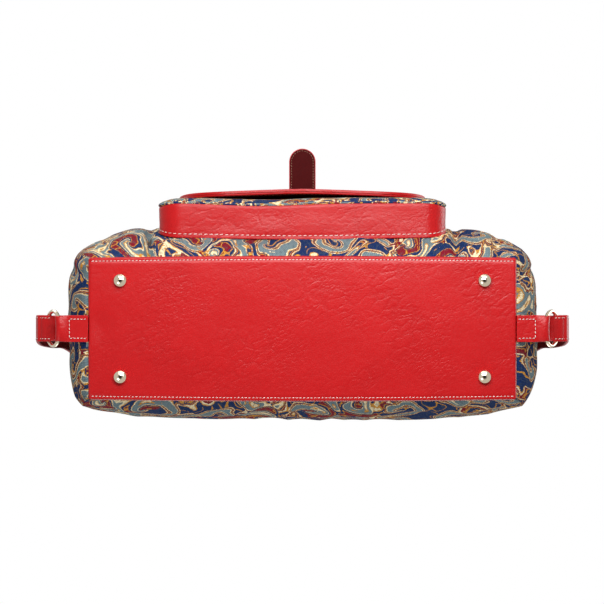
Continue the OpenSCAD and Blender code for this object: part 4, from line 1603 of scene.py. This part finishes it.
    def ring(self, shop: Workshop) -> None:
        """Spins the ring.

        Args:
            shop: makes the piece.
        """
        bm = bmesh.new()
        round_r = self.wire / 2
        outline = [(self.ring_r + round_r * math.cos(a), round_r * math.sin(a)) for a in turns(20)]
        shop.spin(bm, outline, (0.0, 0.0), 72, True)
        place = Matrix.Translation(self.ring_mid) @ Matrix.Rotation(-math.radians(self.tilt), 4, "Y")
        bmesh.ops.transform(bm, matrix=Matrix.Diagonal((self.side.value, 1, 1, 1)) @ place, verts=bm.verts)
        shop.close(bm)
        node = f"ring_{self.side.word()}"
        shop.piece(f"{node}_wire", bm, shop.gold, (node,), Body(node))

    def build(self, shop: Workshop) -> None:
        """Builds the strap, the ring and the tab.

        Args:
            shop: makes the pieces.
        """
        strap, ring_tab = f"strap_{self.side.word()}", f"ring_tab_{self.side.word()}"
        steps, size, inside = (12, 180), (self.width, self.strap_l), Vector((0, 0, 150))
        shop.sheet(f"{strap}_leather", self.layer(0.0), steps, size, self.outer_t, shop.red, inside, (strap,),
                   round_edge=0.5)
        shop.sheet(f"{strap}_backing", self.layer(self.inner_in), steps, size, self.inner_t, shop.inner,
                   inside, round_edge=0.4)
        self.ring(shop)
        to_base, outwards = Vector((-1, 0, 0)), Vector(self.loop_way).normalized()
        lengths = (self.tab_l - self.tab_short, self.tab_l - self.layer_gap)
        tab = self.fold(self.tab_wire, to_base, lengths, self.tab_t, 1.0, self.tab_open, self.tab_follow)
        shop.sheet(f"{ring_tab}_leather", tab, (24, 90), (self.width, self.tab_flat),
                   self.tab_t - self.layer_gap, shop.red, self.side.turn(self.tab_wire), (ring_tab,),
                   round_edge=0.4)
        loop_t = self.thick - self.layer_gap
        loop = self.fold(self.loop, outwards, self.loop_lengths, loop_t, -1.0, self.loop_open,
                         self.loop_follow)
        shop.sheet(f"{strap}_loop", loop, (24, 80), (self.width, self.loop_flat), loop_t - self.layer_gap,
                   shop.red, self.side.turn(self.loop), round_edge=0.5)
        rows = [self.edge_row(u) for u in (-1, 1)]
        rows += self.box_rows(self.tab_wire, to_base, self.box_near, self.tab_l - self.box_far_in,
                              self.tab_t + self.layer_gap)
        shop.stitches(f"{strap}_stitches", rows, self.stitch_pitch)


@dataclass
class TopEnd:
    """The zip, the yoke and the rolled handle."""

    form: BodyForm
    zip_l: float = 376.0
    zip_drop: float = 3.0
    flange: float = 12.0
    tooth: float = 2.0
    tooth_out: float = 0.55
    tooth_share: Triple = (0.46, 0.36, 0.5)
    coil_w: float = 4.6
    coil_h: float = 2.0
    tape_in: float = 0.4
    tape_t: float = 0.8
    tape_flat: float = 18.0
    bend_r: float = 2.0
    yoke_w: float = 168.0
    yoke_h: float = 56.0
    yoke_t: float = 2.4
    yoke_round: float = 16.0
    yoke_pitch: float = 3.4
    yoke_row_in: float = 0.955
    row_turn: float = 0.2
    row_top: float = 0.9
    row_corner: float = -0.55
    row_bottom: float = -0.87
    row_round: float = 14
    row_lift: float = 0.15
    gap: float = 0.4
    handle_w: float = 124.0
    handle_d: float = 12.0
    handle_end_w: float = 10.0
    handle_end_t: float = 2.2
    handle_pitch: float = 3.6
    leg: float = 44.0
    flat_run: float = 30.0

    def zip_z(self) -> float:
        """The height of the zip's tapes."""
        return self.form.height - self.zip_drop

    def yoke_top(self) -> float:
        """The height of the yoke's upper edge."""
        return self.zip_z() - self.flange

    def yoke_y(self, x: float, z: float) -> float:
        """The yoke's outer face."""
        return self.form.back_y(x, z) + self.gap + self.yoke_t

    def yoke(self, u: float, v: float) -> Vector:
        """A point of the yoke's outer face, with rounded lower corners."""
        x = u * self.yoke_w / 2
        r = self.yoke_round
        d = max(0.0, abs(x) - (self.yoke_w / 2 - r))
        low = self.yoke_top() - self.yoke_h + r - math.sqrt(max(r ** 2 - d * d, 0.0))
        z = lerp(low, self.yoke_top(), (v + 1) / 2)
        return Vector((x, self.yoke_y(x, z), z))

    def yoke_row(self, s: float) -> Spot:
        """The stitch row round the yoke's sides and bottom."""
        side, near = math.copysign(self.yoke_row_in, s - 0.5), min(s, 1 - s)
        if near < self.row_turn:
            u, v = side, lerp(self.row_top, self.row_corner, near / self.row_turn)
        else:
            u = math.sin((s - 0.5) / (0.5 - self.row_turn) * math.pi / 2)
            v = lerp(self.row_bottom, self.row_corner, abs(u) ** self.row_round)
            u *= self.yoke_row_in
        return self.yoke(u, v) + Vector((0, self.row_lift, 0)), Vector((0, 1, 0))

    def handle(self) -> Callable[[float], tuple[Vector, Vector, Vector, float]]:
        """The handle's middle line.

        Returns:
            A function from a share of 0 to 1 to the middle, the directions along and back, and the flatness.
        """
        r, high = self.handle_w / 2, self.yoke_top()
        low = high - self.yoke_h / 2
        lean = math.atan2(self.yoke_y(r, low) - self.yoke_y(r, high), high - low)
        stand = (self.gap + self.handle_d / 2) / math.cos(lean)
        foot = Vector((0, self.yoke_y(r, low) + stand, low))
        tip = Matrix.Rotation(lean, 3, "X")
        total = 2 * self.leg + math.pi * r

        def at(s: float) -> tuple[Vector, Vector, Vector, float]:
            """The handle at a share of its length."""
            run = s * total
            if run < self.leg:
                spot, way = Vector((-r, 0, run)), Vector((0, 0, 1))
            elif run > total - self.leg:
                spot, way = Vector((r, 0, total - run)), Vector((0, 0, -1))
            else:
                a = math.pi - (run - self.leg) / r
                spot = Vector((r * math.cos(a), 0, self.leg + r * math.sin(a)))
                way = Vector((math.sin(a), 0, -math.cos(a)))
            flat = eased(max(0.0, 1 - min(run, total - run) / self.flat_run))
            return foot + tip @ spot, tip @ way, tip @ Vector((0, 1, 0)), flat
        return at

    def build_handle(self, shop: Workshop) -> None:
        """Builds the rolled handle, which flattens to its sewn ends.

        Args:
            shop: makes the pieces.
        """
        at = self.handle()
        r, end_t = self.handle_d / 2, self.handle_end_t
        rings, around = 150, 20
        bm = bmesh.new()
        loops = []
        for k in range(rings + 1):
            spot, way, back, flat = at(k / rings)
            wide = way.cross(back) * lerp(r, self.handle_end_w, flat)
            thick = back * lerp(r, end_t, flat)
            middle = spot - back * ((r - end_t) * flat)
            loops.append([bm.verts.new(middle + wide * math.cos(a) + thick * math.sin(a))
                          for a in turns(around)])
        edges = [[bm.edges.new((loop[j], loop[(j + 1) % around])) for j in range(around)] for loop in loops]
        for a, b in zip(edges, edges[1:]):
            bmesh.ops.bridge_loops(bm, edges=a + b)
        bm.faces.new(loops[0])
        bm.faces.new(loops[-1])
        bmesh.ops.recalc_face_normals(bm, faces=bm.faces)
        shop.piece("top_handle_rolled", bm, shop.red, ("top_handle",))

        def seam(s: float) -> Spot:
            """The seam along the handle's outer side."""
            spot, _, back, flat = at(lerp(0.02, 0.98, s))
            out = lerp(r, end_t, flat) - (r - end_t) * flat
            return spot + back * (out + 0.1), back
        shop.stitches("top_handle_stitches", [seam], self.handle_pitch, radius=0.38)

    def tape(self, sign: int) -> Place:
        """One of the zip's tapes: flat beside the coil, then turned down behind the panel's hem."""
        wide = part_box("zip_tape_back")[1][1] / MM - self.tape_in
        flat, bend = wide - self.bend_r, math.pi / 2 * self.bend_r

        def place(u: float, v: float) -> Vector:
            """A point of the tape."""
            run = (v + 1) / 2 * (flat + bend + self.flange - self.bend_r)
            a = clamp((run - flat) / self.bend_r, 0.0, math.pi / 2)
            y = min(run, flat) + self.bend_r * math.sin(a)
            drop = self.bend_r * (1 - math.cos(a)) + max(0.0, run - flat - bend)
            return Vector((u * self.zip_l / 2, sign * (self.tape_in + y), self.zip_z() - drop))
        return place

    def build(self, shop: Workshop) -> None:
        """Builds the zip, the yoke and the handle.

        Args:
            shop: makes the pieces.
        """
        shop.sheet("strap_yoke_leather", self.yoke, (90, 30), (self.yoke_w, self.yoke_h), self.yoke_t,
                   shop.red, Vector((0, 0, 300)), ("strap_yoke",), round_edge=0.6)
        shop.stitches("strap_yoke_stitches", [self.yoke_row], self.yoke_pitch)
        self.build_handle(shop)
        room = (self.tooth, self.coil_w, self.coil_h)
        grow = Matrix.Diagonal((*(size * share for size, share in zip(room, self.tooth_share)), 1.0))
        teeth = []
        for k in range(int(self.zip_l / self.tooth)):
            out = self.tooth_out if k % 2 else -self.tooth_out
            spot = Vector(((k + 0.5) * self.tooth - self.zip_l / 2, out, self.zip_z() + self.coil_h / 2))
            teeth.append(Matrix.Translation(spot) @ grow)
        shop.piece("zip_teeth", shop.beads(teeth, 8, 6), shop.gold, ("zip_coil",))
        for word, sign in (("front", -1), ("back", 1)):
            shop.sheet(f"zip_tape_{word}_woven", self.tape(sign), (120, 16), (self.zip_l, self.tape_flat),
                       self.tape_t, shop.tape, Vector((0, 0, 200)), (f"zip_tape_{word}",))
        shop.polished_copy("zip_slider", Body.SLIDER, 0.25)
        shop.polished_copy("zip_pull", Body.PULL, 0.3)


@dataclass
class Studio:
    """Camera, floor, world and lamps, in metres."""

    floor_z: float
    pixels: float = 604.0
    mm_per_pixel: float = 0.9335
    distance: float = 1.8
    base_pixel: Pair = (302.4, 328.7)
    sensor: float = 36.0
    floor_half: float = 6.0
    floor_paint: float = 0.86
    floor_glow: float = 0.8
    glow_share: float = 0.7
    even_light: float = 0.42
    dark_spot: Pair = (-0.993, -0.78)
    mirror_light: Pair = (0.02, 0.62)
    aim: Triple = (0.0, 0.0, 0.12)
    lamps: tuple[tuple[str, Triple, Pair, float], ...] = (
        ("strip_below", (0.03, -0.28, -0.5), (0.55, 0.12), 4.3),
        ("softbox_front_below", (0.1, -1.3, -0.9), (1.7, 0.5), 12),
        ("softbox_low", (-0.9, 0.9, -1.3), (0.8, 0.8), 5),
        ("softbox_front_left", (-1.3, -1.6, 1.2), (1.2, 1.2), 24),
        ("softbox_right", (1.8, -0.3, 1.0), (1.0, 1.4), 14),
        ("softbox_back", (0.2, 1.8, 1.3), (1.4, 1.2), 16))

    def camera(self) -> None:
        """Looks straight up at the base, with the pocket towards the top of the picture."""
        pixel = self.mm_per_pixel * MM
        data = bpy.data.cameras.new("camera")
        data.sensor_width = self.sensor
        data.lens = self.sensor * self.distance / (self.pixels * pixel)
        obj = bpy.data.objects.new("camera", data)
        obj.location = (*((self.pixels / 2 - at) * pixel for at in self.base_pixel), -self.distance)
        obj.rotation_euler = (math.pi, 0, 0)
        bpy.context.scene.collection.objects.link(obj)
        bpy.context.scene.camera = obj

    def floor(self) -> None:
        """A pale floor that is seen from above only and doesn't shade what stands on it from below."""
        bm = bmesh.new()
        bmesh.ops.create_grid(bm, x_segments=1, y_segments=1, size=self.floor_half)
        bmesh.ops.translate(bm, verts=bm.verts, vec=(0, 0, self.floor_z))
        mesh = bpy.data.meshes.new("floor")
        bm.to_mesh(mesh)
        bm.free()
        obj = bpy.data.objects.new("floor", mesh)
        bpy.context.scene.collection.objects.link(obj)
        s = Shader(bpy.data.materials.new("floor_paint"))
        matt = s.node("ShaderNodeBsdfDiffuse", {}, {"Color": (*[self.floor_paint] * 3, 1.0)})["BSDF"]
        lit = s.node("ShaderNodeEmission", {}, {"Color": (*[self.floor_glow] * 3, 1.0)})["Emission"]
        clear = s.node("ShaderNodeBsdfTransparent", {}, {})["BSDF"]
        under = s.node("ShaderNodeNewGeometry", {}, {})["Backfacing"]
        paint = s.blend(under, s.blend(self.glow_share, matt, lit), clear)
        s.node("ShaderNodeOutputMaterial", {}, {"Surface": paint})
        mesh.materials.append(s.owner)
        for ray in ("shadow", "diffuse", "glossy", "transmission"):
            setattr(obj, f"visible_{ray}", False)
        obj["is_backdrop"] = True

    def world(self) -> None:
        """Even light with a white ground for the camera, and a dark spot straight below for reflections."""
        world = bpy.data.worlds.new("studio")
        bpy.context.scene.world = world
        s = Shader(world)
        spot = s.ease(s.axes(s.coords("Generated"))["Z"], *self.dark_spot, *self.mirror_light)
        white, even, mirror = (
            s.node("ShaderNodeBackground", {}, {"Color": (1, 1, 1, 1), "Strength": strength})["Background"]
            for strength in (1.0, self.even_light, spot))
        path = s.node("ShaderNodeLightPath", {}, {})
        ground = s.blend(path["Is Camera Ray"], s.blend(path["Is Glossy Ray"], even, mirror), white)
        s.node("ShaderNodeOutputWorld", {}, {"Surface": ground})

    def lamp(self, name: str, place: Triple, size: Pair, watts: float) -> None:
        """Adds a soft lamp that looks at the bag.

        Args:
            name: its name.
            place: where it stands.
            size: its width and height.
            watts: its power.
        """
        data = bpy.data.lights.new(name, "AREA")
        data.shape = "RECTANGLE"
        data.size, data.size_y = size
        data.energy = watts
        obj = bpy.data.objects.new(name, data)
        obj.location = place
        obj.rotation_euler = (Vector(self.aim) - Vector(place)).to_track_quat("-Z", "Y").to_euler()
        obj.visible_camera = False
        bpy.context.scene.collection.objects.link(obj)

    def build(self) -> None:
        """Sets the stage."""
        self.camera()
        self.floor()
        self.world()
        for lamp in self.lamps:
            self.lamp(*lamp)


def dress_inner_nodes(shop: Workshop) -> None:
    """Gives the nodes that stay as they are their materials.

    Args:
        shop: holds the finishes.
    """
    finishes = {"base_board": shop.board, "foot_washers": shop.gold, "pocket_magnet": shop.steel,
                "tab_magnet": shop.steel}
    for node, finish in finishes.items():
        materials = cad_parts[node].data.materials
        materials.clear()
        materials.append(shop.coat(finish))


def main() -> None:
    """Builds the backpack and its stage."""
    cad_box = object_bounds()
    form = BodyForm()
    shop = Workshop()
    pocket = Pocket(form)
    WovenBody(form).build(shop)
    Base(form).build(shop)
    pocket.build(shop)
    Flap(pocket).build(shop)
    for side in Side:
        Strap(form, side).build(shop)
    TopEnd(form).build(shop)
    dress_inner_nodes(shop)
    Studio(floor_z=cad_box[0][2]).build()
    bpy.context.scene.view_settings.view_transform = "Standard"


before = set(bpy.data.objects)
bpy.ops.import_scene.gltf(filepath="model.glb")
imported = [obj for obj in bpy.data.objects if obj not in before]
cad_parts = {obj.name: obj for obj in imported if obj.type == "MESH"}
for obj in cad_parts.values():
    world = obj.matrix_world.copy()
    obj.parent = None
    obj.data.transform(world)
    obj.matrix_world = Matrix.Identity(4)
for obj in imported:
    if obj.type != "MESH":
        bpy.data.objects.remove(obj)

if __name__ == "__main__":
    logging.basicConfig(level=logging.INFO)
    main()
